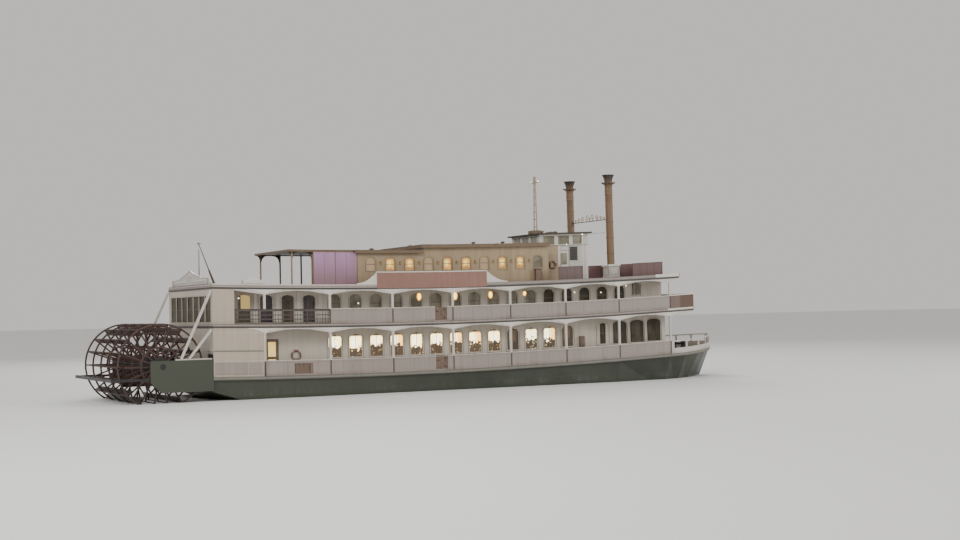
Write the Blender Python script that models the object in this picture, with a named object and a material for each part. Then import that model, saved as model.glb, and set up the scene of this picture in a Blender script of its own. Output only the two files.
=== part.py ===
"""Stern-wheel paddle steamer, built at half its real size.

+X points to the bow, +Y to port and +Z up. The origin is on the centreline,
amidships, at the water's surface. All sizes are metres of the half-size model.

Lengths along the ship are given in bays: the bay is the distance between two
posts of the side colonnades, and post 0 is the first one from the stern.
Heights are given for a ship with flat decks, and the sheer is added to them.
"""

import math

import bmesh
import bpy
from mathutils import Vector

# The grid that everything stands on
BAY = 2.36
AMIDSHIPS = 3.925
HALF_BEAM = 2.725
SEAT = 0.0003
SHEER_RISE = 0.011
SHEER_LOW = 2.0

# Places along the ship, in bays from post 0
STERN = -0.76
BOW_START = 7.0
BOW_TIP = 8.57
FIRST_POST = 0
LAST_POST = 7
MAIN_FRONT = 7.06
GALLERY_FRONT = -0.45
UPPER_DECK_FRONT = 7.47
TOP_DECK_FRONT = 7.19
TOP_HOUSE_AFT = 1.6
TOP_HOUSE_STEP = 2.69
TOP_HOUSE_FRONT = 4.93
CANOPY_AFT = 0.5
PILOT_FRONT = 5.85
TRUNK_FRONT = 6.95
BOARD_AFT = 1.75
BOARD_FRONT = 3.59
BOARD_SWEEP_AFT = 0.32
BOARD_SWEEP_FRONT = 0.37
STACK_BAY = 6.2
MAST_BAY = 5.13
FLAGSTAFF_BAY = -0.38
WHEEL_BAY = -1.48
BEAM_END = -1.65
GUARD_BAY = -2.18
RUDDER_BAY = -0.42

BOW_BAYS = (7.35, 7.7, 8, 8.25, 8.42)

# Levels above the water
HULL_TOP = 0.61
MAIN_DECK = 0.725
UPPER_LINE = 2.36
UPPER_DECK = 2.475
TOP_LINE = 3.665
TOP_DECK = 3.83
DRAFT = 0.72
CHINE = -0.5

# Thicknesses and widths
WALL = 0.05
BULWARK = 0.04
BULWARK_HEIGHT = 0.5
EDGE_INSET = 0.005
GUARD_OVERHANG = 0.08
STEM_HALF = 0.12
BOW_FULLNESS = 0.85
PROMENADE = 0.6
TOP_PROMENADE = 0.95
POST = 0.08
VALANCE_DEPTH = 0.05
VALANCE_HAUNCH = 0.13
VALANCE_THICK = 0.06

# Doors and gates
DOOR_THICK = 0.03
PIVOT_CLEAR = 0.03
PIVOT_OVERLAP = 0.012
PIVOT_RADIUS = 0.012
LATCH_CLEAR = 0.01
SILL = 0.04
FOOT_CLEAR = 0.03
HEAD_CLEAR = 0.012

COLOURS = {
    "cream paint": ((0.80, 0.77, 0.70), 0.5, 0.0),
    "hull paint": ((0.025, 0.045, 0.035), 0.45, 0.0),
    "deck paint": ((0.33, 0.20, 0.15), 0.7, 0.0),
    "red paint": ((0.30, 0.04, 0.035), 0.45, 0.0),
    "buff paint": ((0.55, 0.44, 0.30), 0.55, 0.0),
    "roof paint": ((0.10, 0.09, 0.09), 0.7, 0.0),
    "stack paint": ((0.07, 0.035, 0.025), 0.45, 0.2),
    "wheel paint": ((0.22, 0.03, 0.025), 0.5, 0.0),
    "varnished wood": ((0.25, 0.12, 0.05), 0.4, 0.0),
    "dark steel": ((0.05, 0.05, 0.055), 0.5, 0.6),
}


def at(bay):
    """Distance forward of amidships, for a place given in bays."""
    return (bay - AMIDSHIPS) * BAY


def sheer(x):
    """Rise of the decks at x: straight from one post to the next, as plating is."""
    place = x / BAY + AMIDSHIPS
    aft = math.floor(place)
    rises = [SHEER_RISE * (post - SHEER_LOW) ** 2 for post in (aft, aft + 1)]
    return rises[0] + (rises[1] - rises[0]) * (place - aft)


def bends(low, high):
    """The post lines strictly between two distances, where the sheer changes slope."""
    lines = [at(post) for post in range(-3, 10)]
    return [x for x in lines if low + 1e-6 < x < high - 1e-6]


def half_beam(x):
    """Half the width of the main deck at x."""
    if x <= at(BOW_START):
        return HALF_BEAM
    along = (x - at(BOW_START)) / (at(BOW_TIP) - at(BOW_START))
    return max(HALF_BEAM * (1 - min(along, 1) ** 2) ** BOW_FULLNESS, STEM_HALF)


def clear_scene():
    for item in list(bpy.data.objects):
        bpy.data.objects.remove(item, do_unlink=True)


def paint(name):
    material = bpy.data.materials.get(name)
    if material:
        return material
    colour, roughness, metallic = COLOURS[name]
    material = bpy.data.materials.new(name)
    material.use_nodes = True
    shader = material.node_tree.nodes["Principled BSDF"]
    shader.inputs["Base Color"].default_value = (*colour, 1)
    shader.inputs["Roughness"].default_value = roughness
    shader.inputs["Metallic"].default_value = metallic
    return material


def stand(name, bm, finish, smooth=None, origin=None):
    """Turn a bmesh into a named object, its origin on a joint's axis if one is given."""
    bmesh.ops.recalc_face_normals(bm, faces=bm.faces[:])
    if origin is not None:
        bmesh.ops.translate(bm, verts=bm.verts[:], vec=-Vector(origin))
    mesh = bpy.data.meshes.new(name)
    bm.to_mesh(mesh)
    bm.free()
    if smooth:
        mesh.shade_smooth()
        mesh.set_sharp_from_angle(angle=math.radians(smooth))
    item = bpy.data.objects.new(name, mesh)
    bpy.context.scene.collection.objects.link(item)
    if origin is not None:
        item.location = origin
    mesh.materials.append(paint(finish))
    return item


def thicken(bm, place):
    """Extrude a skin drawn with place(u, v, 0) to its other side at place(u, v, 1)."""
    across = bm.verts.layers.float["u"]
    upward = bm.verts.layers.float["v"]
    made = bmesh.ops.extrude_face_region(bm, geom=bm.faces[:])["geom"]
    for vert in made:
        if isinstance(vert, bmesh.types.BMVert):
            vert.co = place(vert[across], vert[upward], 1)


def new_skin():
    bm = bmesh.new()
    bm.verts.layers.float.new("u")
    bm.verts.layers.float.new("v")
    return bm


def skin_vert(bm, place, u, v):
    vert = bm.verts.new(place(u, v, 0))
    vert[bm.verts.layers.float["u"]] = u
    vert[bm.verts.layers.float["v"]] = v
    return vert


def pierced(loops, place):
    """A plate with a rim (first loop) and holes (the others), each a list of (u, v)."""
    bm = new_skin()
    for loop in loops:
        verts = [skin_vert(bm, place, u, v) for u, v in loop]
        for near, far in zip(verts, verts[1:] + verts[:1]):
            bm.edges.new((near, far))
    bmesh.ops.triangle_fill(bm, use_beauty=True, edges=bm.edges[:])
    thicken(bm, place)
    return bm


def sheered(loop):
    """Add the sheer to a loop of (x, z), with a point at each post line it crosses."""
    raised = []
    for near, far in zip(loop, loop[1:] + loop[:1]):
        crossed = bends(min(near[0], far[0]), max(near[0], far[0]))
        if far[0] < near[0]:
            crossed.reverse()
        raised.append(near)
        for x in crossed:
            share = (x - near[0]) / (far[0] - near[0])
            raised.append((x, near[1] + share * (far[1] - near[1])))
    return [(x, z + sheer(x)) for x, z in raised]


def side_plate(name, side, outer, thick, loops, finish):
    """A fore-and-aft plate. side is -1 for starboard and 1 for port, outer its distance out."""

    def place(x, z, inward):
        return Vector((x, side * (outer - thick * inward), z))

    return stand(name, pierced([sheered(loop) for loop in loops], place), finish)


def cross_plate(name, aft, thick, loops, finish):
    """An athwartship plate whose loops are (y, z), its aft face at x = aft."""

    def place(y, z, forward):
        x = aft + thick * forward
        return Vector((x, y, z + sheer(x)))

    return stand(name, pierced(loops, place), finish)


def box_loop(low, high, bottom, top):
    return [(low, bottom), (high, bottom), (high, top), (low, top)]


def arched_loop(centre, width, bottom, top, rise):
    """A window outline whose head is half an ellipse of the given rise."""
    half = width / 2
    loop = [(centre - half, bottom), (centre + half, bottom)]
    for step in range(5):
        turn = math.pi * step / 4
        loop.append((centre + half * math.cos(turn), top - rise + rise * math.sin(turn)))
    return loop


def loft(rings):
    """A closed body through rings of points, with its end rings filled."""
    bm = bmesh.new()
    rows = [[bm.verts.new(point) for point in ring] for ring in rings]
    for near, far in zip(rows, rows[1:]):
        for step in range(len(near)):
            after = (step + 1) % len(near)
            bm.faces.new((near[step], near[after], far[after], far[step]))
    bm.faces.new(rows[0])
    bm.faces.new(rows[-1])
    return bm


def plank(low, high, half_width, bottom, top):
    """A deck or roof from x low to x high that follows the sheer."""
    rings = []
    for x in [low, *bends(low, high), high]:
        half = half_width(x)
        levels = (bottom + sheer(x), top + sheer(x))
        rings.append([(x, -half, levels[0]), (x, half, levels[0]),
                      (x, half, levels[1]), (x, -half, levels[1])])
    return loft(rings)


def bar(start, end, width, height, across=(0, 1, 0)):
    """A straight rectangular bar between two points; across is its width's direction."""
    start, end, across = Vector(start), Vector(end), Vector(across)
    up = (end - start).cross(across).normalized()
    rings = []
    for point in (start, end):
        rings.append([point + across * width / 2 * a + up * height / 2 * b
                      for a, b in ((-1, -1), (1, -1), (1, 1), (-1, 1))])
    return loft(rings)


def circle(centre, radius, count, turn=0.0):
    """Points of a level circle."""
    angles = [turn + math.tau * step / count for step in range(count)]
    return [Vector(centre) + Vector((radius * math.cos(a), radius * math.sin(a), 0)) for a in angles]


def join(name, bodies, finish, smooth=None, origin=None):
    """Weld overlapping bmeshes into one body with Boolean unions."""
    pieces = []
    for bm in bodies:
        bmesh.ops.recalc_face_normals(bm, faces=bm.faces[:])
        mesh = bpy.data.meshes.new(name)
        bm.to_mesh(mesh)
        bm.free()
        piece = bpy.data.objects.new(name + "_piece", mesh)
        bpy.context.scene.collection.objects.link(piece)
        pieces.append(piece)
    base = pieces[0]
    for piece in pieces[1:]:
        weld = base.modifiers.new("weld", "BOOLEAN")
        weld.operation = "UNION"
        weld.solver = "EXACT"
        weld.object = piece
    bpy.context.view_layer.update()
    shaped = base.evaluated_get(bpy.context.evaluated_depsgraph_get())
    welded = bmesh.new()
    welded.from_mesh(shaped.data)
    for piece in pieces:
        bpy.data.objects.remove(piece, do_unlink=True)
    bmesh.ops.dissolve_degenerate(welded, dist=1e-5, edges=welded.edges[:])
    return stand(name, welded, finish, smooth, origin)


def path_wall(path, thick, levels, openings=(), closed=False):
    """A wall along a plan path of (x, y), its outer face on the path, thickened to the left.

    levels are the wall's heights from foot to head. Each opening is
    (stretch, start, end, foot, head): start and end along that stretch of the path,
    foot and head two of the levels.
    """
    points = [Vector(point) for point in path]
    stretches = list(zip(points, points[1:] + points[:1] if closed else points[1:]))
    ways = [(far - near).normalized() for near, far in stretches]
    lefts = [Vector((-way.y, way.x)) for way in ways]
    stations = []
    for number, (near, far) in enumerate(stretches):
        length = (far - near).length
        marks = {0.0, *(edge for o in openings if o[0] == number for edge in o[1:3])}
        if abs(far.x - near.x) > 1e-6:
            for x in bends(min(near.x, far.x), max(near.x, far.x)):
                marks.add((x - near.x) / (far.x - near.x) * length)
        if number + 1 == len(stretches) and not closed:
            marks.add(length)
        for mark in sorted(marks):
            outer = near + ways[number] * mark
            side = lefts[number]
            if mark == 0.0 and (closed or number > 0):
                side = (side + lefts[number - 1]) / (1 + side.dot(lefts[number - 1]))
            stations.append((number, mark, outer, outer + side * thick))

    def place(station, level, inward):
        point = stations[round(station) % len(stations)][3 if inward else 2]
        return Vector((point.x, point.y, level + sheer(point.x)))

    def is_open(station, foot, head):
        number, mark = stations[station][:2]
        for stretch, start, end, low, high in openings:
            if stretch == number and start - 1e-6 <= mark < end - 1e-6:
                if low - 1e-6 <= foot and head <= high + 1e-6:
                    return True
        return False

    bm = new_skin()
    columns = len(stations)
    grid = [[skin_vert(bm, place, column, level) for level in levels] for column in range(columns)]
    for column in range(columns if closed else columns - 1):
        after = (column + 1) % columns
        for row in range(len(levels) - 1):
            if not is_open(column, levels[row], levels[row + 1]):
                bm.faces.new((grid[column][row], grid[after][row],
                              grid[after][row + 1], grid[column][row + 1]))
    bmesh.ops.delete(bm, geom=[v for v in bm.verts if not v.link_faces], context="VERTS")
    thicken(bm, place)
    return bm


# Hull
HULL_SIDE = HALF_BEAM - GUARD_OVERHANG
KEEL_HALF = 0.04
KEEL_DEPTH = 0.1
RUN_START = 0.9
STEM_RAKE = 0.75
RUN_CURVE = 1.6
RUN_BAYS = (RUDDER_BAY, 0.0, 0.45)
COUNTER = 0.1
HULL_STERN = at(STERN) + 0.02
HULL_STEM = at(BOW_TIP) - 0.05
CHINE_SHARE = 0.96
CHINE_FINING = 0.5
CHINE_LIFT = 1.2


def run_height(x):
    """Height of the bottom on its curve: level, then rising to the counter aft."""
    run = (at(RUN_START) - x) / (at(RUN_START) - at(STERN))
    return -DRAFT + (DRAFT + COUNTER) * max(run, 0.0) ** RUN_CURVE


def hull_bottom(x):
    """Height of the bottom plating on the centreline, straight from frame to frame."""
    frames = [HULL_STERN, *(at(bay) for bay in RUN_BAYS), at(RUN_START)]
    for aft, front in zip(frames, frames[1:]):
        if x < front:
            share = (x - aft) / (front - aft)
            return run_height(aft) * (1 - share) + run_height(front) * share
    return -DRAFT


def build_hull():
    rings = []
    stations = [HULL_STERN, *(at(bay) for bay in RUN_BAYS), at(RUN_START)]
    stations += [at(bay) for bay in (*range(1, LAST_POST + 1), *BOW_BAYS)] + [HULL_STEM]
    fine_start = at(LAST_POST - 1)
    for x in stations:
        top = HULL_TOP + sheer(x) - SEAT
        bottom = hull_bottom(x)
        width = half_beam(x) - GUARD_OVERHANG if x < HULL_STEM else STEM_HALF / 2
        width = max(width, STEM_HALF / 2)
        fine = max(0.0, (x - fine_start) / (HULL_STEM - fine_start))
        chine = bottom + (CHINE + DRAFT) * (1 + CHINE_LIFT * fine)
        chine_half = max(width * (CHINE_SHARE - CHINE_FINING * fine ** 1.5), KEEL_HALF * 1.2)
        rake = STEM_RAKE * fine ** 2
        depth = top - bottom
        shape = [(width, top), (chine_half, chine), (KEEL_HALF, bottom),
                 (KEEL_HALF, bottom - KEEL_DEPTH)]
        ring = [(x - rake * (top - z) / depth, -y, z) for y, z in shape]
        ring += [(x - rake * (top - z) / depth, y, z) for y, z in reversed(shape)]
        rings.append(ring)
    stand("hull", loft(rings), "hull paint")


# Decks
def build_decks():
    tip = at(BOW_TIP)
    stations = [at(STERN), *bends(at(STERN), at(BOW_START)), at(BOW_START)]
    stations += [at(bay) for bay in BOW_BAYS] + [tip]
    rings = []
    for x in stations:
        half, low, high = half_beam(x), HULL_TOP + sheer(x), MAIN_DECK + sheer(x)
        rings.append([(x, -half, low), (x, half, low), (x, half, high), (x, -half, high)])
    stand("main_deck", loft(rings), "cream paint")
    upper = plank(at(STERN), at(UPPER_DECK_FRONT), lambda x: HALF_BEAM, UPPER_LINE, UPPER_DECK)
    stand("upper_deck", upper, "cream paint")
    top = plank(at(STERN), at(TOP_DECK_FRONT), lambda x: HALF_BEAM, TOP_LINE, TOP_DECK)
    stand("top_deck", top, "cream paint")


# Gates and bulwarks
GATE_AFT = 2.7
GATE_BAYS = 0.2
GATE_FRONT = GATE_AFT + GATE_BAYS
GATE_PIN_DROP = 0.05
SIDES = (("starboard", -1), ("port", 1))
RAIL_END = 1.0
RAIL_BAR = 0.03
RAIL_ROWS = 3
RAIL_PANELS = 4


def gate_notch(deck):
    low = deck + SILL
    high = deck + BULWARK_HEIGHT
    return low, high


def bulwark_rim(aft, front, deck):
    """Outline of a bulwark with a notch for its gate, open at the top."""
    foot = deck + SEAT
    sill, head = gate_notch(deck)
    return [(aft, foot), (front, foot), (front, head), (at(GATE_FRONT), head),
            (at(GATE_FRONT), sill), (at(GATE_AFT), sill), (at(GATE_AFT), head), (aft, head)]


def rail_holes(aft, front, deck):
    """Slots between the bars of an open rail."""
    holes = []
    pitch = (front - aft) / RAIL_PANELS
    rows = (BULWARK_HEIGHT - SILL - RAIL_BAR) / RAIL_ROWS
    for panel in range(RAIL_PANELS):
        for row in range(RAIL_ROWS):
            low = deck + SILL + rows * row
            holes.append(box_loop(aft + pitch * panel + RAIL_BAR, aft + pitch * (panel + 1),
                                  low, low + rows - RAIL_BAR))
    return holes


def build_bulwarks():
    outer = HALF_BEAM - EDGE_INSET
    for word, side in SIDES:
        rim = bulwark_rim(at(FIRST_POST) + 0.02, at(BOW_START) - SEAT, MAIN_DECK)
        side_plate("main_bulwark_" + word, side, outer, BULWARK, [rim], "cream paint")
        start = at(GALLERY_FRONT) + SEAT
        rim = bulwark_rim(start, at(LAST_POST) - SEAT, UPPER_DECK)
        holes = rail_holes(start, at(RAIL_END), UPPER_DECK)
        side_plate("upper_bulwark_" + word, side, outer, BULWARK, [rim, *holes], "cream paint")
        for tier, deck in (("main", MAIN_DECK), ("upper", UPPER_DECK)):
            build_gate(tier + "_gate_" + word, side, deck)


def build_gate(name, side, deck):
    """A boarding gate that swings inboard on a pin at its forward end."""
    sill, head = gate_notch(deck)
    pivot = (at(GATE_FRONT) - PIVOT_CLEAR, side * (HALF_BEAM - EDGE_INSET - BULWARK / 2),
             sill + sheer(at(GATE_FRONT)))
    aft = at(GATE_AFT) + LATCH_CLEAR
    front = pivot[0] + PIVOT_OVERLAP
    foot = sill + FOOT_CLEAR
    leaf = pierced([sheered(box_loop(aft, front, foot, head))],
                   lambda x, z, w: Vector((x, pivot[1] + DOOR_THICK * (w - 0.5), z)))
    join(name, [leaf, door_pin(pivot, sill, head - GATE_PIN_DROP)], "varnished wood", origin=pivot)


def bow_path(inset):
    """The edge of the foredeck from starboard round the stem to port."""
    straight = [(at(BOW_START) + SEAT, inset - HALF_BEAM), (at(BOW_START + 0.05), inset - HALF_BEAM)]
    starboard = straight + [(at(bay), inset - half_beam(at(bay))) for bay in BOW_BAYS]
    tip = [(at(BOW_TIP) - inset, -STEM_HALF * 0.7), (at(BOW_TIP) - inset, STEM_HALF * 0.7)]
    return starboard + tip + [(x, -y) for x, y in reversed(starboard)]


def build_bow():
    levels = [MAIN_DECK + SEAT, MAIN_DECK + 0.2, MAIN_DECK + BULWARK_HEIGHT - 0.05,
              MAIN_DECK + BULWARK_HEIGHT]
    path = bow_path(EDGE_INSET)
    openings = []
    for number, (near, far) in enumerate(zip(path, path[1:])):
        length = (Vector(far) - Vector(near)).length
        if length > 0.4:
            openings.append((number, 0.04, length - 0.04, levels[1], levels[2]))
    stand("bow_bulwark", path_wall(path, BULWARK, levels, openings), "cream paint")
    reach = at(UPPER_DECK_FRONT) - EDGE_INSET
    outer = HALF_BEAM - EDGE_INSET
    start = at(LAST_POST) + SEAT
    path = [(start, -outer), (reach, -outer), (reach, outer), (start, outer)]
    levels = [UPPER_DECK + SEAT, UPPER_DECK + BULWARK_HEIGHT]
    stand("balcony_bulwark", path_wall(path, BULWARK, levels), "red paint")


# Colonnades
def colonnade_rim(aft, front, foot, head):
    """Posts that hang from an arched valance, as one outline of (x, z)."""
    rim = [(aft, head), (aft, head - VALANCE_DEPTH)]
    for post in range(FIRST_POST, LAST_POST + 1):
        centre = at(post)
        if post > FIRST_POST:
            for share in (0.3, 0.5, 0.7):
                depth = VALANCE_DEPTH + VALANCE_HAUNCH * abs(2 * share - 1) ** 2
                rim.append((centre - BAY * (1 - share), head - depth))
        haunch = head - VALANCE_DEPTH - VALANCE_HAUNCH
        rim.append((centre - POST / 2, haunch))
        rim += [(centre - POST / 2, foot), (centre + POST / 2, foot)]
        rim.append((centre + POST / 2, haunch))
    rim += [(front, head - VALANCE_DEPTH), (front, head)]
    return rim


def build_colonnades():
    outer = HALF_BEAM - EDGE_INSET
    tiers = (("main", MAIN_DECK, UPPER_LINE, at(FIRST_POST) - POST / 2 - 0.001, UPPER_DECK_FRONT),
             ("upper", UPPER_DECK, TOP_LINE, at(GALLERY_FRONT) + SEAT, TOP_DECK_FRONT))
    for tier, deck, line, aft, front in tiers:
        foot = deck + BULWARK_HEIGHT + SEAT
        rim = colonnade_rim(aft, at(front) - 0.02, foot, line - SEAT)
        for word, side in SIDES:
            side_plate(tier + "_colonnade_" + word, side, outer, VALANCE_THICK, [rim], "cream paint")


# Saloons
MAIN_WINDOW = (0.475, 0.575, 1.375, 0.14)
UPPER_WINDOW = (0.43, 0.36, 1.03, 0.14)
TALL_WINDOW = (0.43, 0.06, 1.0, 0.08)
FRONT_WINDOW = (0.42, 0.45, 1.0, 0.1)
TALL_WINDOW_BAYS = (-0.22, 0.11, 0.44, 0.77)
LAST_UPPER_WINDOW = 6.17
FRONT_WINDOW_SHARES = (0.45, 0.78)
DOOR_WIDTH = 0.47
SIDE_DOOR_BAY = 0.19
SIDE_WALL = HALF_BEAM - PROMENADE
MAIN_LINTEL = 0.395
UPPER_LINTEL = 0.095
DOOR_STILE = 0.08
DOOR_RAIL = 0.1
MAIN_DOOR_HEAD = UPPER_LINE - MAIN_LINTEL
UPPER_DOOR_HEAD = TOP_LINE - UPPER_LINTEL


def window_row(deck, size, centres):
    """Window outlines: size is (width, foot, head, arch rise) above the deck."""
    width, foot, head, rise = size
    return [arched_loop(at(centre), width, deck + foot, deck + head, rise) for centre in centres]


def thirds(first, last):
    """Three window centres for each bay from post first to post last."""
    return [bay + (2 * step + 1) / 6 for bay in range(first, last) for step in range(3)]


def build_saloons():
    for word, side in SIDES:
        rim = box_loop(at(FIRST_POST) + SEAT, at(MAIN_FRONT) - WALL - SEAT,
                       MAIN_DECK + SEAT, UPPER_LINE - SEAT)
        holes = window_row(MAIN_DECK, MAIN_WINDOW, thirds(1, 7))
        middle = at(SIDE_DOOR_BAY)
        holes.append(box_loop(middle - DOOR_WIDTH / 2, middle + DOOR_WIDTH / 2,
                              MAIN_DECK + SILL, MAIN_DOOR_HEAD))
        side_plate("main_side_" + word, side, SIDE_WALL, WALL, [rim, *holes], "cream paint")
        rim = box_loop(at(GALLERY_FRONT) + SEAT, at(LAST_POST) - WALL - SEAT,
                       UPPER_DECK + SEAT, TOP_LINE - SEAT)
        holes = window_row(UPPER_DECK, TALL_WINDOW, TALL_WINDOW_BAYS)
        holes += window_row(UPPER_DECK, UPPER_WINDOW, thirds(1, 6) + [LAST_UPPER_WINDOW])
        side_plate("upper_side_" + word, side, SIDE_WALL, WALL, [rim, *holes], "cream paint")
        build_side_door("main_side_door_" + word, side, SIDE_WALL, middle, MAIN_DECK, MAIN_DOOR_HEAD)
    front_wall("main_front", MAIN_FRONT, MAIN_DECK, UPPER_LINE, 2 * DOOR_WIDTH, MAIN_DOOR_HEAD)
    front_wall("upper_front", LAST_POST, UPPER_DECK, TOP_LINE, DOOR_WIDTH, UPPER_DOOR_HEAD)
    for word, side in SIDES:
        build_front_door("main_front_door_" + word, side, MAIN_FRONT, MAIN_DECK, MAIN_DOOR_HEAD,
                         DOOR_WIDTH)
    build_front_door("upper_front_door", -1, LAST_POST, UPPER_DECK, UPPER_DOOR_HEAD, DOOR_WIDTH / 2)


def front_wall(name, bay, deck, line, door_width, door_head):
    """The forward wall of a saloon, with a doorway and two windows each side of it."""
    half = SIDE_WALL
    rim = box_loop(-half, half, deck + SEAT, line - SEAT)
    holes = [box_loop(-door_width / 2, door_width / 2, deck + SILL, door_head)]
    width, foot, head, rise = FRONT_WINDOW
    for side in (-1, 1):
        for share in FRONT_WINDOW_SHARES:
            holes.append(arched_loop(side * half * share, width, deck + foot, deck + head, rise))
    cross_plate(name, at(bay) - WALL, WALL, [rim, *holes], "cream paint")


def door_pin(pivot, foot, head):
    """A pivot pin seated between a sill and a head that follow the sheer."""
    rises = [sheer(pivot[0] + reach) for reach in (-PIVOT_RADIUS, PIVOT_RADIUS)]
    levels = (foot + max(rises) + SEAT, head + min(rises) - SEAT)
    return loft([circle((pivot[0], pivot[1], z), PIVOT_RADIUS, 8) for z in levels])


def build_side_door(name, side, outer, centre, deck, head):
    """A half-glazed door in a side wall, hung at its forward edge, that opens inboard."""
    foot = deck + SILL
    pivot = (centre + DOOR_WIDTH / 2 - PIVOT_CLEAR, side * (outer - WALL / 2), foot + sheer(centre))
    aft = centre - DOOR_WIDTH / 2 + LATCH_CLEAR
    front = pivot[0] + PIVOT_OVERLAP
    rim = sheered(box_loop(aft, front, foot + FOOT_CLEAR, head - HEAD_CLEAR))
    pane = sheered(box_loop(aft + DOOR_STILE, front - DOOR_STILE, (foot + head) / 2, head - DOOR_RAIL))
    leaf = pierced([rim, pane], lambda x, z, w: Vector((x, pivot[1] + DOOR_THICK * (w - 0.5), z)))
    join(name, [leaf, door_pin(pivot, foot, head)], "varnished wood", origin=pivot)


def build_front_door(name, side, bay, deck, head, reach):
    """A door in a forward wall, hung at y = side * reach, that opens forward."""
    foot = deck + SILL
    middle = at(bay) - WALL / 2
    pivot = (middle, side * (reach - PIVOT_CLEAR), foot + sheer(middle))
    hung = pivot[1] + side * PIVOT_OVERLAP
    free = side * LATCH_CLEAR / 2 if reach == DOOR_WIDTH else -side * (reach - LATCH_CLEAR)
    low, high = min(hung, free), max(hung, free)
    lift = sheer(middle)
    rim = box_loop(low, high, foot + FOOT_CLEAR, head - HEAD_CLEAR)
    pane = box_loop(low + DOOR_STILE, high - DOOR_STILE, (foot + head) / 2, head - DOOR_RAIL)
    leaf = pierced([rim, pane], lambda y, z, w: Vector((middle + DOOR_THICK * (w - 0.5), y, z + lift)))
    join(name, [leaf, door_pin(pivot, foot, head)], "varnished wood", origin=pivot)


# Stern rooms
STERN_PANES = 7
PANE_GAP = 0.09
GALLERY_CORNER = 0.25
GALLERY_FOOT = 0.07
GALLERY_HEAD = 0.95
ENGINE_BAYS = (-0.68, -0.2)
ENGINE_HALF = 0.6
ENGINE_HEIGHT = 0.8
PEDIMENT_HALF = 2.2
PEDIMENT_RISE = 0.52
PEDIMENT_THICK = 0.05
# Half of its outline: (share of the half width, share of the rise)
PEDIMENT_OUTLINE = ((1.0, 0.0), (1.0, 0.38), (0.61, 0.46), (0.2, 0.77), (0.0, 1.0))


def build_stern():
    outer = HALF_BEAM - EDGE_INSET
    back = at(STERN) + EDGE_INSET
    front = at(FIRST_POST) - POST / 2 - 0.001 - SEAT
    inner = SIDE_WALL - WALL
    path = [(front, -inner), (front, -outer), (back, -outer), (back, outer), (front, outer),
            (front, inner)]
    path.reverse()
    levels = [MAIN_DECK + SEAT, UPPER_LINE - SEAT]
    stand("engine_room_wall", path_wall(path, WALL, levels), "cream paint")
    block = plank(at(ENGINE_BAYS[0]), at(ENGINE_BAYS[1]), lambda x: ENGINE_HALF, MAIN_DECK + SEAT,
                  MAIN_DECK + ENGINE_HEIGHT)
    stand("engine_block", block, "dark steel")
    front = at(GALLERY_FRONT)
    path = [(front, inner), (front, outer), (back, outer), (back, -outer), (front, -outer),
            (front, -inner)]
    foot, head = UPPER_DECK + GALLERY_FOOT, UPPER_DECK + GALLERY_HEAD
    levels = [UPPER_DECK + SEAT, foot, head, TOP_LINE - SEAT]
    pitch = 2 * (outer - GALLERY_CORNER) / STERN_PANES
    openings = []
    for pane in range(STERN_PANES):
        start = GALLERY_CORNER + pitch * pane + PANE_GAP / 2
        openings.append((2, start, start + pitch - PANE_GAP, foot, head))
    stand("stern_gallery", path_wall(path, WALL, levels, openings), "cream paint")
    half = [(share * PEDIMENT_HALF, TOP_DECK + SEAT + rise * PEDIMENT_RISE)
            for share, rise in PEDIMENT_OUTLINE]
    rim = half + [(-y, z) for y, z in reversed(half[:-1])]
    cross_plate("stern_pediment", back + EDGE_INSET, PEDIMENT_THICK, [rim], "cream paint")


# Name boards on the edge of the top deck
BOARD_HEIGHT = 0.43
BOARD_THICK = 0.05
SWEEP_STEPS = 4
SWEEP_FOOT = 0.03


def build_name_boards():
    foot, head = TOP_DECK + SEAT, TOP_DECK + BOARD_HEIGHT
    rim = [(at(BOARD_AFT - BOARD_SWEEP_AFT), foot), (at(BOARD_FRONT + BOARD_SWEEP_FRONT), foot)]
    for step in range(SWEEP_STEPS + 1):
        share = step / SWEEP_STEPS
        rim.append((at(BOARD_FRONT + BOARD_SWEEP_FRONT * (1 - share)),
                    foot + SWEEP_FOOT + (head - foot - SWEEP_FOOT) * share ** 2))
    for step in range(SWEEP_STEPS, -1, -1):
        share = step / SWEEP_STEPS
        rim.append((at(BOARD_AFT - BOARD_SWEEP_AFT * (1 - share)),
                    foot + SWEEP_FOOT + (head - foot - SWEEP_FOOT) * share ** 2))
    for word, side in SIDES:
        side_plate("name_board_" + word, side, HALF_BEAM - EDGE_INSET, BOARD_THICK, [rim], "red paint")


# Top house, canopy and pilot house
TOP_WALL = HALF_BEAM - TOP_PROMENADE
LOW_ROOF = 1.4
HIGH_ROOF = 1.6
ROOF_THICK = 0.06
EAVES = 0.12
TOP_WINDOW = (0.33, 0.51, 0.96, 0.1)
TOP_WINDOW_AFT_GAP = 0.226
TOP_WINDOW_FRONT_GAP = 0.197
TOP_WINDOWS = 10
TOP_DOOR_HALF = 0.24
TOP_DOOR_LINTEL = 0.135
CANOPY_THICK = 0.04
CANOPY_POST = 0.05
CANOPY_POST_INSET = 0.1
CANOPY_POST_SHARES = (0.076, 0.381, 0.715)
PILOT_HALF = 1.1
PILOT_HEIGHT = 2.0
PILOT_TOP_RAIL = 0.055
PILOT_PANE = 0.35
PILOT_EAVES = 0.14
PILOT_ROOF_AFT = 0.12
PILOT_LINTEL = 0.23
PILOT_CORNER = 0.1
PILOT_MULLION = 0.16
PILOT_PANES = (3, 4, 3, 3)
TRUNK_HEIGHT = 0.5


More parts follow.
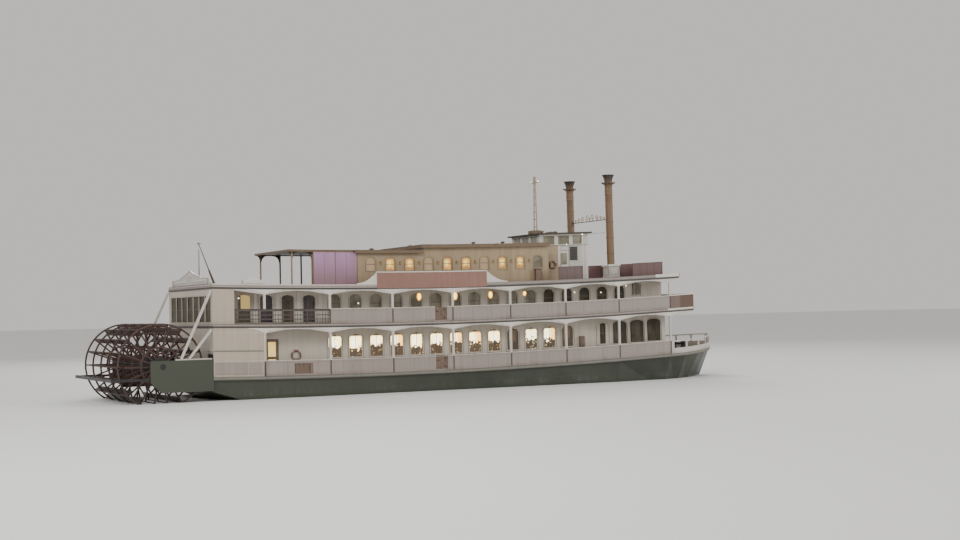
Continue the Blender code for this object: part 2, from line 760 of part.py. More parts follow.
def build_top_house():
    foot = TOP_DECK + SEAT
    low, high = TOP_LINE + LOW_ROOF - ROOF_THICK, TOP_LINE + HIGH_ROOF - ROOF_THICK
    aft, step, front = at(TOP_HOUSE_AFT), at(TOP_HOUSE_STEP), at(TOP_HOUSE_FRONT)
    rim = [(aft + WALL + SEAT, foot), (front - WALL - SEAT, foot), (front - WALL - SEAT, high - SEAT),
           (step + SEAT, high - SEAT), (step + SEAT, low - SEAT), (aft + WALL + SEAT, low - SEAT)]
    first, last = TOP_HOUSE_AFT + TOP_WINDOW_AFT_GAP, TOP_HOUSE_FRONT - TOP_WINDOW_FRONT_GAP
    centres = [first + (last - first) * number / (TOP_WINDOWS - 1) for number in range(TOP_WINDOWS)]
    for word, side in SIDES:
        holes = window_row(TOP_DECK, TOP_WINDOW, centres)
        side_plate("top_side_" + word, side, TOP_WALL, WALL, [rim, *holes], "buff paint")
    door = box_loop(-TOP_DOOR_HALF, TOP_DOOR_HALF, TOP_DECK + SILL, low - TOP_DOOR_LINTEL)
    cross_plate("top_aft", aft, WALL, [box_loop(-TOP_WALL, TOP_WALL, foot, low - SEAT), door],
                "buff paint")
    cross_plate("top_front", front - WALL, WALL, [box_loop(-TOP_WALL, TOP_WALL, foot, high - SEAT)],
                "buff paint")
    half = TOP_WALL + EAVES
    outline = [(aft - EAVES, low), (step, low), (step, high), (front, high), (front, high + ROOF_THICK),
               (step - ROOF_THICK, high + ROOF_THICK), (step - ROOF_THICK, low + ROOF_THICK),
               (aft - EAVES, low + ROOF_THICK)]
    roof = pierced([sheered(outline)], lambda x, z, w: Vector((x, half * (1 - 2 * w), z)))
    stand("top_roof", roof, "roof paint")
    build_canopy()


def build_canopy():
    """The top house's roof carried on aft as an open shelter, on six slim posts."""
    aft, front = at(CANOPY_AFT), at(TOP_HOUSE_AFT) - EAVES - SEAT
    level = TOP_LINE + LOW_ROOF
    half = TOP_WALL
    bodies = [plank(aft, front, lambda x: half, level - CANOPY_THICK, level)]
    for side in (-1, 1):
        for share in CANOPY_POST_SHARES:
            x = aft + (front - aft) * share
            post = plank(x - CANOPY_POST / 2, x + CANOPY_POST / 2, lambda x: CANOPY_POST / 2,
                         TOP_DECK + SEAT, level - CANOPY_THICK / 2)
            bmesh.ops.translate(post, verts=post.verts[:], vec=(0, side * (half - CANOPY_POST_INSET), 0))
            bodies.append(post)
    join("aft_canopy", bodies, "roof paint")


def build_pilot_house():
    aft, front = at(TOP_HOUSE_FRONT) + SEAT, at(PILOT_FRONT)
    ceiling = TOP_LINE + PILOT_HEIGHT - ROOF_THICK
    head = ceiling - PILOT_TOP_RAIL
    sill = head - PILOT_PANE
    door_foot, door_head = TOP_DECK + SILL, sill - PILOT_LINTEL
    levels = [TOP_DECK + SEAT, door_foot, door_head, sill, head, ceiling - SEAT]
    path = [(aft, -PILOT_HALF), (front, -PILOT_HALF), (front, PILOT_HALF), (aft, PILOT_HALF)]
    length, width = front - aft, 2 * PILOT_HALF
    door_aft = (length - DOOR_WIDTH) / 2
    openings = []
    for stretch, panes in enumerate(PILOT_PANES):
        run = width if stretch % 2 else length
        pitch = (run - 2 * PILOT_CORNER) / panes
        for pane in range(panes):
            start = PILOT_CORNER + pitch * pane + PILOT_MULLION / 2
            openings.append((stretch, start, start + pitch - PILOT_MULLION, sill, head))
    for stretch in (0, 2):
        openings.append((stretch, door_aft, door_aft + DOOR_WIDTH, door_foot, door_head))
    stand("pilot_house", path_wall(path, WALL, levels, openings, closed=True), "cream paint")
    for word, side in SIDES:
        build_side_door("pilot_door_" + word, side, PILOT_HALF, (aft + front) / 2, TOP_DECK, door_head)
    reach = PILOT_HALF + PILOT_EAVES
    level = TOP_LINE + PILOT_HEIGHT
    roof = plank(aft - PILOT_ROOF_AFT, front + PILOT_EAVES, lambda x: reach, ceiling, level)
    stand("pilot_roof", roof, "roof paint")


def build_trunk():
    """The low maroon bulwark that runs forward of the pilot house between the stacks."""
    aft, front = at(PILOT_FRONT) + SEAT, at(TRUNK_FRONT)
    half = PILOT_HALF
    path = [(aft, -half), (front, -half), (front, half), (aft, half)]
    levels = [TOP_DECK + SEAT, TOP_DECK + TRUNK_HEIGHT]
    stand("forward_bulwark", path_wall(path, BULWARK, levels), "red paint")


# Stacks, mast and flagstaff
STACK_TOP = 8.05
STACK_RADIUS = 0.1325
STACK_RAKE = 0.012
CASING_HALF = 0.2375
CASING_CLEAR = 0.1375
STACK_SIDE = PILOT_HALF + CASING_CLEAR + CASING_HALF
CASING_HEIGHT = 0.42
CASING_CAP = 0.08
CASING_LIP = 0.03
CROWN_RADIUS = 0.25
CROWN_HEIGHT = 0.325
CROWN_TIP = 0.05
COLLAR_RADIUS = 0.275
CROWN_WAIST = 0.86
MOUTH_DEPTH = 0.3
STACK_SIDES = 16
# The turned neck under the crown: (rise over the crown's foot, radius)
STACK_NECK = ((-0.3, STACK_RADIUS), (-0.06, 0.22), (-0.02, COLLAR_RADIUS), (0.02, COLLAR_RADIUS),
              (0.03, 0.146), (0.2, 0.179))


def square(centre, half, count):
    """Points of a square that answer those of a circle with as many points."""
    points = []
    for point in circle((0, 0, 0), 1, count):
        reach = half / max(abs(point.x), abs(point.y))
        points.append(Vector(centre) + Vector((point.x * reach, point.y * reach, 0)))
    return points


def build_stacks():
    base = TOP_DECK + SEAT
    foot = at(STACK_BAY)
    lift = sheer(foot)
    casing_top = base + CASING_HEIGHT
    crown_foot = STACK_TOP - CROWN_HEIGHT - lift
    for word, side in SIDES:
        def level(height, aft=0.0):
            return (foot - STACK_RAKE * (height - base), side * STACK_SIDE, height + lift)
        low = [point + Vector((0, 0, sheer(point.x) - lift))
               for point in square(level(base), CASING_HALF, STACK_SIDES)]
        rings = [low, square(level(casing_top), CASING_HALF, STACK_SIDES)]
        rings.append(square(level(casing_top), CASING_HALF + CASING_LIP, STACK_SIDES))
        rings.append(square(level(casing_top + CASING_CAP), CASING_HALF + CASING_LIP, STACK_SIDES))
        rings.append(circle(level(casing_top + CASING_CAP), STACK_RADIUS, STACK_SIDES))
        for rise, radius in STACK_NECK:
            rings.append(circle(level(crown_foot + rise), radius, STACK_SIDES))
        lip = circle(level(crown_foot + CROWN_HEIGHT), CROWN_RADIUS, STACK_SIDES)
        centre = Vector(level(crown_foot + CROWN_HEIGHT))
        for number, point in enumerate(lip):
            if number % 2:
                lip[number] = centre + (point - centre) * CROWN_WAIST - Vector((0, 0, CROWN_TIP))
        rings.append(lip)
        mouth = crown_foot + CROWN_HEIGHT - CROWN_TIP * 1.4
        rings.append(circle(level(mouth), STACK_RADIUS, STACK_SIDES))
        rings.append(circle(level(mouth - MOUTH_DEPTH), STACK_RADIUS * 0.8, STACK_SIDES))
        stand("stack_" + word, loft(rings), "stack paint", smooth=40)
    build_spreader(base, lift)


SPREADER_HEIGHT = 2.25
SPREADER_DEPTH = 0.22
SPREADER_THICK = 0.03
SPREADER_PANELS = 6
SPREADER_STRUT = 0.04


def build_spreader(base, lift):
    """The braced bar that ties the two stacks together: a level chord under an arched one."""
    z = base + lift + SPREADER_HEIGHT
    x = at(STACK_BAY) - STACK_RAKE * SPREADER_HEIGHT
    reach = STACK_SIDE - STACK_RADIUS - SEAT
    pitch = 2 * reach / SPREADER_PANELS

    def arch(y):
        return z + SPREADER_DEPTH * (1 - (y / reach) ** 2)

    rim = [(-reach, z), (reach, z)]
    for panel in range(SPREADER_PANELS, -1, -1):
        y = -reach + pitch * panel
        rim.append((y, arch(y) + SPREADER_THICK + SPREADER_STRUT / 2))
    holes = []
    for panel in range(SPREADER_PANELS):
        left = -reach + pitch * panel + SPREADER_STRUT / 2
        right = left + pitch - SPREADER_STRUT
        tops = [arch(y) - SPREADER_THICK / 3 for y in (left, right)]
        if min(tops) > z + 2 * SPREADER_THICK:
            holes.append([(left, z + SPREADER_THICK), (right, z + SPREADER_THICK),
                          (right, tops[1]), (left, tops[0])])
    plate = pierced([rim, *holes], lambda y, v, w: Vector((x + SPREADER_THICK * (w - 0.5), y, v)))
    stand("stack_spreader", plate, "stack paint")


MAST_TOP = 8.05
MAST_LEG = 0.03
MAST_FOOT_HALF = 0.13
MAST_HEAD_HALF = 0.06
MAST_RUNGS = 7
MAST_THICK = 0.04
YARD_DROP = 0.25
YARD_HALF = 0.28
YARD_DEPTH = 0.04


def build_mast():
    """A ladder mast on the pilot house roof with a yard near its head."""
    x = at(MAST_BAY)
    foot = TOP_LINE + PILOT_HEIGHT + max(sheer(x - MAST_THICK), sheer(x + MAST_THICK)) + SEAT

    def half(z):
        share = (z - foot) / (MAST_TOP - foot)
        return MAST_FOOT_HALF + (MAST_HEAD_HALF - MAST_FOOT_HALF) * share

    yard = MAST_TOP - YARD_DROP
    over = yard + YARD_DEPTH
    right = [(half(foot), foot), (half(yard), yard), (YARD_HALF, yard), (YARD_HALF, over),
             (half(over), over), (half(MAST_TOP), MAST_TOP)]
    rim = right + [(-y, z) for y, z in reversed(right)]
    pitch = (yard - foot) / MAST_RUNGS
    holes = []
    for rung in range(MAST_RUNGS):
        low, high = foot + pitch * rung + MAST_LEG, foot + pitch * (rung + 1)
        holes.append([(-half(low) + MAST_LEG, low), (half(low) - MAST_LEG, low),
                      (half(high) - MAST_LEG, high), (-half(high) + MAST_LEG, high)])
    plate = pierced([rim, *holes], lambda y, z, w: Vector((x + MAST_THICK * (w - 0.5), y, z)))
    stand("mast", plate, "dark steel")


STAFF_LENGTH = 1.6
STAFF_LEAN = math.radians(21)
STAFF_RADIUS = 0.025
STAFF_SHOE_RADIUS = 0.06
STAFF_SHOE_HEIGHT = 0.08
STAFF_ARM_HALF = 0.2
STAFF_ARM_DROP = 0.06


def build_flagstaff():
    x = at(FLAGSTAFF_BAY)
    foot = TOP_DECK + SEAT + max(sheer(x - STAFF_SHOE_RADIUS), sheer(x + STAFF_SHOE_RADIUS))
    lean = Vector((-math.sin(STAFF_LEAN), 0, math.cos(STAFF_LEAN)))
    base = Vector((x, 0, foot + STAFF_SHOE_HEIGHT / 2))
    shoe = loft([circle((x, 0, foot + rise), STAFF_SHOE_RADIUS, 8) for rise in (0, STAFF_SHOE_HEIGHT)])
    rings = []
    for distance, radius in ((0, STAFF_RADIUS), (STAFF_LENGTH, STAFF_RADIUS * 0.6)):
        rings.append(circle(base + lean * distance, radius, 8))
    head = base + lean * (STAFF_LENGTH - STAFF_ARM_DROP)
    reach = Vector((0, STAFF_ARM_HALF, 0))
    arm = bar(head - reach, head + reach, STAFF_RADIUS, STAFF_RADIUS, (1, 0, 0))
    join("flagstaff", [shoe, loft(rings), arm], "dark steel")


# Paddle wheel and what carries it
BEAM_THICK = 0.12
BEAM_TOP = 1.4
BEAM_FOOT = 0.35
BEAM_SWEEP = 0.35
BEAM_SIDE = HALF_BEAM - EDGE_INSET
WHEEL_CLEAR = 0.18
WHEEL_RADIUS = 1.43
WHEEL_HEIGHT = 1.2
WHEEL_HALF = BEAM_SIDE - BEAM_THICK - WHEEL_CLEAR
WHEEL_FRAMES = 5
FRAME_THICK = 0.05
ARMS = 18
ARM_WIDTH = 0.05
SHAFT_RADIUS = 0.1
INNER_RING = (0.62, 0.67)
RIM_DEPTH = 0.06
BUCKET_DEPTH = 0.25
SHAFT_HALF = BEAM_SIDE - 0.015
BEARING_SIDES = 32
JOURNAL_CLEAR = 0.0005
HEEL_BAY = -1.3
LONG_BRACE_BAY = -1.215
SHORT_BRACE_BAY = -1.1
HEEL_WIDTH = 0.06
HEEL_HEIGHT = 0.04
BRACE_WIDTH = 0.05
BRACE_CLEAR = 0.04
GUARD_HEIGHT = 0.8
GUARD_BAR = 0.1
GUARD_ARM = 0.08


def build_wheel():
    """One welded wheel: frames of arms and rings, buckets from frame to frame, and the shaft."""
    radii = [0.0, SHAFT_RADIUS, INNER_RING[0], INNER_RING[1], WHEEL_RADIUS - BUCKET_DEPTH,
             WHEEL_RADIUS - RIM_DEPTH, WHEEL_RADIUS]
    pitch = math.tau / ARMS
    half_angles = [pitch / 4 if r < 2 * ARM_WIDTH + 0.1 else math.asin(ARM_WIDTH / 2 / r) for r in radii]
    edges = [-SHAFT_HALF]
    spacing = (2 * WHEEL_HALF - FRAME_THICK) / (WHEEL_FRAMES - 1)
    for frame in range(WHEEL_FRAMES):
        start = -WHEEL_HALF + spacing * frame
        edges += [start, start + FRAME_THICK]
    edges.append(SHAFT_HALF)
    filled = set()
    for layer in range(len(edges) - 1):
        is_frame = layer % 2 == 1
        is_between = layer % 2 == 0 and 0 < layer < len(edges) - 2
        for sector in range(2 * ARMS):
            is_arm = sector % 2 == 0
            shells = {0}
            if is_frame:
                shells |= {1, 2, 3, 4, 5} if is_arm else {2, 5}
            if is_between and is_arm:
                shells |= {4, 5}
            filled |= {(shell, sector, layer) for shell in shells}
    bm = bmesh.new()
    corners = {}

    def corner(shell, sector, layer):
        sector %= 2 * ARMS
        key = (shell, 0 if shell == 0 else sector, layer)
        if key not in corners:
            arm, after = divmod(sector, 2)
            angle = arm * pitch + half_angles[shell] * (1 if after else -1)
            reach = radii[shell]
            corners[key] = bm.verts.new((reach * math.cos(angle), edges[layer], reach * math.sin(angle)))
        return corners[key]

    steps = (((-1, 0, 0), (0, 0, 0), (0, 1, 0), (0, 1, 1), (0, 0, 1)),
             ((1, 0, 0), (1, 0, 0), (1, 1, 0), (1, 1, 1), (1, 0, 1)),
             ((0, -1, 0), (0, 0, 0), (1, 0, 0), (1, 0, 1), (0, 0, 1)),
             ((0, 1, 0), (0, 1, 0), (1, 1, 0), (1, 1, 1), (0, 1, 1)),
             ((0, 0, -1), (0, 0, 0), (1, 0, 0), (1, 1, 0), (0, 1, 0)),
             ((0, 0, 1), (0, 0, 1), (1, 0, 1), (1, 1, 1), (0, 1, 1)))
    for shell, sector, layer in sorted(filled):
        for way, *face in steps:
            beside = (shell + way[0], (sector + way[1]) % (2 * ARMS), layer + way[2])
            if beside in filled or beside[0] < 0:
                continue
            loop = []
            for move in face:
                vert = corner(shell + move[0], sector + move[1], layer + move[2])
                if vert not in loop:
                    loop.append(vert)
            if len(loop) > 2:
                bm.faces.new(loop)
    bmesh.ops.translate(bm, verts=bm.verts[:], vec=(at(WHEEL_BAY), 0, WHEEL_HEIGHT))
    stand("paddle_wheel", bm, "wheel paint", origin=(at(WHEEL_BAY), 0, WHEEL_HEIGHT))


def build_wheel_carriers():
    hole_radius = (SHAFT_RADIUS + JOURNAL_CLEAR) / math.cos(math.pi / BEARING_SIDES)
    centre = (at(WHEEL_BAY), WHEEL_HEIGHT)
    bearing = [(p.x, p.y) for p in circle((*centre, 0), hole_radius, BEARING_SIDES)]
    front, end = at(STERN) - SEAT, at(BEAM_END)
    rim = [(end, BEAM_FOOT + BEAM_SWEEP), (end + BEAM_SWEEP, BEAM_FOOT), (front, BEAM_FOOT),
           (front, BEAM_TOP), (end, BEAM_TOP)]
    reach = BEAM_SIDE - BEAM_THICK / 2
    brace_foot = BEAM_TOP + SEAT + HEEL_HEIGHT * 0.75
    brace_head = at(STERN) - BRACE_CLEAR
    for word, side in SIDES:
        beam = pierced([rim, bearing], lambda x, z, w: Vector((x, side * (BEAM_SIDE - BEAM_THICK * w), z)))
        stand("wheel_beam_" + word, beam, "hull paint")
        y = side * reach
        seat = BEAM_TOP + SEAT + HEEL_HEIGHT / 2
        bodies = [bar((at(HEEL_BAY), y, seat), (at(STERN) - BRACE_CLEAR, y, seat), HEEL_WIDTH, HEEL_HEIGHT)]
        for bay, head in ((LONG_BRACE_BAY, TOP_LINE), (SHORT_BRACE_BAY, UPPER_LINE)):
            bodies.append(bar((at(bay), y, brace_foot), (brace_head, y, head + BRACE_CLEAR),
                              BRACE_WIDTH, BRACE_WIDTH))
        join("stern_brace_" + word, bodies, "cream paint")
    guard_x = at(GUARD_BAY)
    z = GUARD_HEIGHT
    span = reach + GUARD_BAR / 2
    bodies = [bar((guard_x, -span, z), (guard_x, span, z), GUARD_BAR, GUARD_BAR, (1, 0, 0))]
    for side in (-1, 1):
        bodies.append(bar((guard_x, side * reach, z), (end - SEAT, side * reach, z), GUARD_ARM, GUARD_ARM))
    join("stern_guard", bodies, "dark steel")


# Rudders ahead of the wheel
RUDDER_SIDE = 1.2
RUDDER_CHORD = 0.75
RUDDER_BALANCE = 0.25
RUDDER_THICK = 0.06
RUDDER_FOOT = -0.7
STOCK_RADIUS = 0.045
STOCK_SIDES = 12


def build_rudders():
    x = at(RUDDER_BAY)
    seat = circle((x, RUDDER_SIDE, 0), STOCK_RADIUS, STOCK_SIDES)
    top = min(hull_side_bottom(point.x, point.y) for point in seat) - SEAT
    for word, side in SIDES:
        y = side * RUDDER_SIDE
        aft, front = x - RUDDER_CHORD * (1 - RUDDER_BALANCE), x + RUDDER_CHORD * RUDDER_BALANCE
        plan = [(front, 0), (front - 0.08, RUDDER_THICK / 2), (aft, 0.015)]
        outline = plan + [(px, -py) for px, py in reversed(plan[1:])]
        head = hull_side_bottom(front + 0.05, RUDDER_SIDE) - 0.03
        blade = loft([[(px, y + py, z) for px, py in outline] for z in (RUDDER_FOOT, head)])
        stock = loft([circle((x, y, z), STOCK_RADIUS, STOCK_SIDES) for z in (RUDDER_FOOT + 0.1, top)])
        join("rudder_" + word, [blade, stock], "hull paint", origin=(x, y, head))


def hull_side_bottom(x, y):
    """Height of the bottom plating at x, a distance y off the centreline."""
    bottom = hull_bottom(x)
    half = HULL_SIDE * CHINE_SHARE
    return bottom + (CHINE + DRAFT) * (y - KEEL_HALF) / (half - KEEL_HALF)


def main():
    clear_scene()
    build_hull()
    build_decks()
    build_bulwarks()
    build_bow()
    build_colonnades()
    build_saloons()
    build_stern()
    build_name_boards()
    build_top_house()
    build_pilot_house()
    build_trunk()
    build_stacks()
    build_mast()
    build_flagstaff()
    build_wheel()
    build_wheel_carriers()
    build_rudders()


main()
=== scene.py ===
# %% [markdown]
# A stern-wheel paddle steamer, dressed on its frame.
# The hull, the decks, the walls and everything that moves come ready made, as solids in
# metres at half the real ship's size. This lesson gives them their finishes, and adds the
# rails, windows, mouldings and fittings that are too fine for the solids.

# %% Load the frame
import math

import bmesh
import bpy
from mathutils import Matrix, Quaternion, Vector


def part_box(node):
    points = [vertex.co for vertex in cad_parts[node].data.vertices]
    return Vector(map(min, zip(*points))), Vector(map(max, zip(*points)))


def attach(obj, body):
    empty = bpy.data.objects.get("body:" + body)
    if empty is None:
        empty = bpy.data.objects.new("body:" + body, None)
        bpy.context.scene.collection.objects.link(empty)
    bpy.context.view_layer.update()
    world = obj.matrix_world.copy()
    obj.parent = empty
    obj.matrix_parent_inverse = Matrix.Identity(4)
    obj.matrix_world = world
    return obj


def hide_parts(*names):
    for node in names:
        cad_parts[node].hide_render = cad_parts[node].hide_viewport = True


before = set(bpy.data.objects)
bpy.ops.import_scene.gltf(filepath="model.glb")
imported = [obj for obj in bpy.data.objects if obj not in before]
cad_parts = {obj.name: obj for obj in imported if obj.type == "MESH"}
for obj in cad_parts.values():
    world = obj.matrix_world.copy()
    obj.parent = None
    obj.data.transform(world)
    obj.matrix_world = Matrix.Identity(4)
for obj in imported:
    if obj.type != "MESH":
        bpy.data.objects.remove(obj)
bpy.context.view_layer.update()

SHIP = "ship"

# %% [markdown]
# The ship's lines.
# A ship's decks rise towards both ends, which is called the sheer. The plating between two
# frames is straight, so the rise is worked out at each post of the side colonnade and runs
# straight from one post to the next. Places along the ship are given in bays from post 0.

# %% Lines
BAY = 2.36
AMIDSHIPS = 3.925
HALF_BEAM = 2.725
OUTER = HALF_BEAM - 0.005
SHEER_RISE = 0.011
SHEER_LOW = 2.0
STERN = -0.76
BOW_START = 7.0
BOW_TIP = 8.57
STEM_HALF = 0.12
BOW_FULLNESS = 0.85
BOW_BAYS = (7.35, 7.7, 8, 8.25, 8.42)
HULL_TOP = 0.61
MAIN_DECK = 0.725
UPPER_LINE = 2.36
UPPER_DECK = 2.475
TOP_LINE = 3.665
TOP_DECK = 3.83
SIDE_WALL = 2.125
TOP_WALL = 1.775


def at(bay):
    """Distance forward of amidships, for a place given in bays."""
    return (bay - AMIDSHIPS) * BAY


def sheer(x):
    """Rise of the decks at x."""
    place = x / BAY + AMIDSHIPS
    aft = math.floor(place + 1e-6)
    rises = [SHEER_RISE * (post - SHEER_LOW) ** 2 for post in (aft, aft + 1)]
    return rises[0] + (rises[1] - rises[0]) * (place - aft)


def half_beam(x):
    """Half the width of the main deck at x."""
    if x <= at(BOW_START):
        return HALF_BEAM
    along = (x - at(BOW_START)) / (at(BOW_TIP) - at(BOW_START))
    return max(HALF_BEAM * (1 - min(along, 1) ** 2) ** BOW_FULLNESS, STEM_HALF)


print("sheer at the stern", round(sheer(at(STERN)), 3), "and at the stem", round(sheer(at(BOW_TIP)), 3))

# %% [markdown]
# Shaping tools.
# Nearly all of the ship is sawn, turned or run along an edge. So there is one helper for each:
# a sawn box, a round rod, a turned shape that is spun round an axis, a slab cut to an outline,
# a hoop that is a slab with its middle taken out, and a moulding pushed along a path. Each gives
# back its own small mesh, which is then put into a larger one.


# %% Boxes and rods
def soften(bm, ease):
    """Ease every edge with a one-step bevel."""
    bmesh.ops.bevel(bm, geom=bm.edges[:], offset=ease, affect="EDGES", segments=1, profile=0.5,
                    material=-1, clamp_overlap=True)


def box(low, high, ease=0.0):
    """A sawn block between two corners."""
    low, high = Vector(low), Vector(high)
    bm = bmesh.new()
    bmesh.ops.create_cube(bm, size=1)
    bmesh.ops.scale(bm, vec=high - low, verts=bm.verts[:])
    bmesh.ops.translate(bm, vec=(low + high) / 2, verts=bm.verts[:])
    if ease:
        soften(bm, ease)
    return bm


def rod(start, end, radius, sides=8, tip=None):
    """A round bar between two points, tapered if tip is given."""
    start, end = Vector(start), Vector(end)
    way = end - start
    bm = bmesh.new()
    bmesh.ops.create_cone(bm, cap_ends=True, segments=sides, radius1=radius,
                          radius2=radius if tip is None else tip, depth=way.length)
    turn = way.to_track_quat("Z", "Y").to_matrix().to_4x4()
    bm.transform(Matrix.Translation((start + end) / 2) @ turn)
    return bm


def globe(radius, sides=10):
    bm = bmesh.new()
    bmesh.ops.create_uvsphere(bm, u_segments=sides, v_segments=sides * 2 // 3, radius=radius)
    return bm


def verts_of(made):
    return [item for item in made if isinstance(item, bmesh.types.BMVert)]


def faces_of(made):
    return [item for item in made if isinstance(item, bmesh.types.BMFace)]


# %% Turned shapes and slabs
def turned(profile, sides, closed=False):
    """A profile of (radius, height) spun once round the upright axis."""
    bm = bmesh.new()
    verts = [bm.verts.new((radius, 0, height)) for radius, height in profile]
    edges = [bm.edges.new(pair) for pair in zip(verts, verts[1:])]
    if closed:
        edges.append(bm.edges.new((verts[-1], verts[0])))
    bmesh.ops.spin(bm, geom=verts + edges, cent=(0, 0, 0), axis=(0, 0, 1), angle=math.tau,
                   steps=sides, use_merge=True)
    bmesh.ops.remove_doubles(bm, verts=bm.verts[:], dist=1e-5)
    bmesh.ops.dissolve_degenerate(bm, edges=bm.edges[:], dist=1e-6)
    return bm


def sheet(outline):
    """A mesh with one upright face, drawn as (across, up), and that face."""
    bm = bmesh.new()
    return bm, bm.faces.new([bm.verts.new((across, 0, up)) for across, up in outline])


def extrude_back(bm, faces, depth):
    made = bmesh.ops.extrude_face_region(bm, geom=faces)["geom"]
    bmesh.ops.translate(bm, vec=(0, depth, 0), verts=verts_of(made))


def slab(outline, depth, ease=0.0):
    """An outline as a sheet with its face at y = 0 and its back at y = depth."""
    bm, face = sheet(outline)
    extrude_back(bm, [face], depth)
    if ease:
        soften(bm, ease)
    return bm


def hoop(outline, width, depth):
    """A flat frame, width wide, inside an outline."""
    bm, face = sheet(outline)
    bmesh.ops.inset_region(bm, faces=[face], thickness=width, use_boundary=True, use_even_offset=True)
    bmesh.ops.delete(bm, geom=[face], context="FACES_ONLY")
    extrude_back(bm, bm.faces[:], depth)
    return bm


def oblong(x, z):
    return [(x[0], z[0]), (x[1], z[0]), (x[1], z[1]), (x[0], z[1])]


# %% Mouldings
def moulding(path, profile, up=(0, 0, 1), closed=False):
    """A profile of (outward, up) pushed along a path and mitred at its corners."""
    points = [Vector(point) for point in path]
    frames = []
    for number, point in enumerate(points):
        ways = []
        if closed or number > 0:
            ways.append((point - points[number - 1]).normalized())
        if closed or number + 1 < len(points):
            ways.append((points[(number + 1) % len(points)] - point).normalized())
        way = sum(ways, Vector()).normalized()
        out = way.cross(Vector(up)).normalized()
        rise = out.cross(way)
        turn = Matrix((out, rise, way)).transposed()
        bend = ways[-1] - ways[0]
        if bend.length > 1e-4:
            bend.normalize()
            stretch = min(1 / max(way.dot(ways[0]), 0.2), 3.0)
            widen = Matrix([[(stretch - 1) * bend[i] * bend[j] + (i == j) for j in range(3)]
                            for i in range(3)])
            turn = widen @ turn
        frames.append(Matrix.Translation(point) @ turn.to_4x4())
    bm = bmesh.new()
    first = bm.faces.new([bm.verts.new(frames[0] @ Vector((u, v, 0))) for u, v in profile])
    face = first
    for near, far in zip(frames, frames[1:] + frames[:1] if closed else frames[1:]):
        made = bmesh.ops.extrude_face_region(bm, geom=[face])["geom"]
        bmesh.ops.transform(bm, matrix=far @ near.inverted(), space=Matrix(), verts=verts_of(made))
        face = faces_of(made)[0]
    if closed:
        bmesh.ops.delete(bm, geom=[first, face], context="FACES_ONLY")
        bmesh.ops.remove_doubles(bm, verts=bm.verts[:], dist=1e-4)
    return bm


# %% [markdown]
# Putting parts together.
# Small meshes are moved into place with a matrix and gathered into one larger mesh. Most parts
# are sawn blocks, so a block is given as its two places along, across and up, and a board as
# how far it stands out from a wall and reaches back behind the wall's face. What is made for
# the starboard side is copied across the centreline, and a long piece that was made straight is
# cut at every post line and lifted with the decks.


# %% Gathering
def meshes(count):
    return [bmesh.new() for number in range(count)]


def put(whole, part, place=None):
    """Add a part's mesh to a larger one, moved by a matrix."""
    if place is not None:
        part.transform(place)
    mesh = bpy.data.meshes.new("part")
    part.to_mesh(mesh)
    part.free()
    whole.from_mesh(mesh)
    bpy.data.meshes.remove(mesh)


def spread(middle, half):
    return middle - half, middle + half


def block(whole, x, y, z, ease=0.003, place=None):
    """Put in a sawn block that reaches from the first to the second of each pair."""
    put(whole, box(*zip(x, y, z), ease), place)


def board(whole, x, out, back, z, ease=0.003, wall=OUTER):
    """Put in a block on the starboard side, from out beyond a wall's face to back behind it."""
    block(whole, x, (-wall - out, -wall + back), z, ease)


def move(x=0.0, y=0.0, z=0.0):
    return Matrix.Translation((x, y, z))


def spun(degrees, axis="Z"):
    return Matrix.Rotation(math.radians(degrees), 4, axis)


def flipped(x=1, y=1):
    return Matrix.Diagonal((x, y, 1, 1))


def side_place(bay, wall, deck):
    """The foot of a starboard wall's face, with the decks' rise."""
    return move(at(bay), -wall, deck + sheer(at(bay)))


def both_sides(bm):
    """Add the port copy of what was made for starboard."""
    made = bmesh.ops.duplicate(bm, geom=bm.verts[:] + bm.edges[:] + bm.faces[:])["geom"]
    bmesh.ops.scale(bm, vec=(1, -1, 1), verts=verts_of(made))
    bmesh.ops.reverse_faces(bm, faces=faces_of(made))
    return bm


def lift(bm):
    for vert in bm.verts:
        vert.co.z += sheer(vert.co.x)
    return bm


def lift_with_decks(bm):
    """Cut a straight piece at every post line it crosses and give it the sheer."""
    low = min(vert.co.x for vert in bm.verts)
    high = max(vert.co.x for vert in bm.verts)
    for post in range(-3, 10):
        if low + 1e-4 < at(post) < high - 1e-4:
            bmesh.ops.bisect_plane(bm, geom=bm.verts[:] + bm.edges[:] + bm.faces[:],
                                   plane_co=(at(post), 0, 0), plane_no=(1, 0, 0))
    return lift(bm)


# %% Pieces
def piece(name, bm, finish, body=SHIP, smooth=35, stands_for=()):
    """Turn a mesh into a finished piece that rides on a body."""
    bmesh.ops.recalc_face_normals(bm, faces=bm.faces[:])
    mesh = bpy.data.meshes.new(name)
    bm.to_mesh(mesh)
    bm.free()
    mesh.materials.append(finish)
    mesh.shade_smooth()
    mesh.set_sharp_from_angle(angle=math.radians(smooth))
    item = bpy.data.objects.new(name, mesh)
    bpy.context.scene.collection.objects.link(item)
    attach(item, body)
    if stands_for:
        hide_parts(*stands_for)
    print(name, len(mesh.polygons), "faces")


def pair(name, bm, finish, slot=None):
    """A piece of what was made for starboard and its port copy."""
    piece(name, both_sides(bm), finish)


def bent_pair(name, bm, finish, slot=None):
    """The same, for what was made straight and follows the decks."""
    pair(name, lift_with_decks(bm), finish, slot)


# %% [markdown]
# A small language for finishes.
# A finish is a net of nodes. Written one by one they hide what is meant, so a Value wraps a
# socket and understands + - * / and **, and a Finish makes every other node with one method.
# A finish on the real ship is never one colour: paint chalks, streaks and gathers dirt low down.


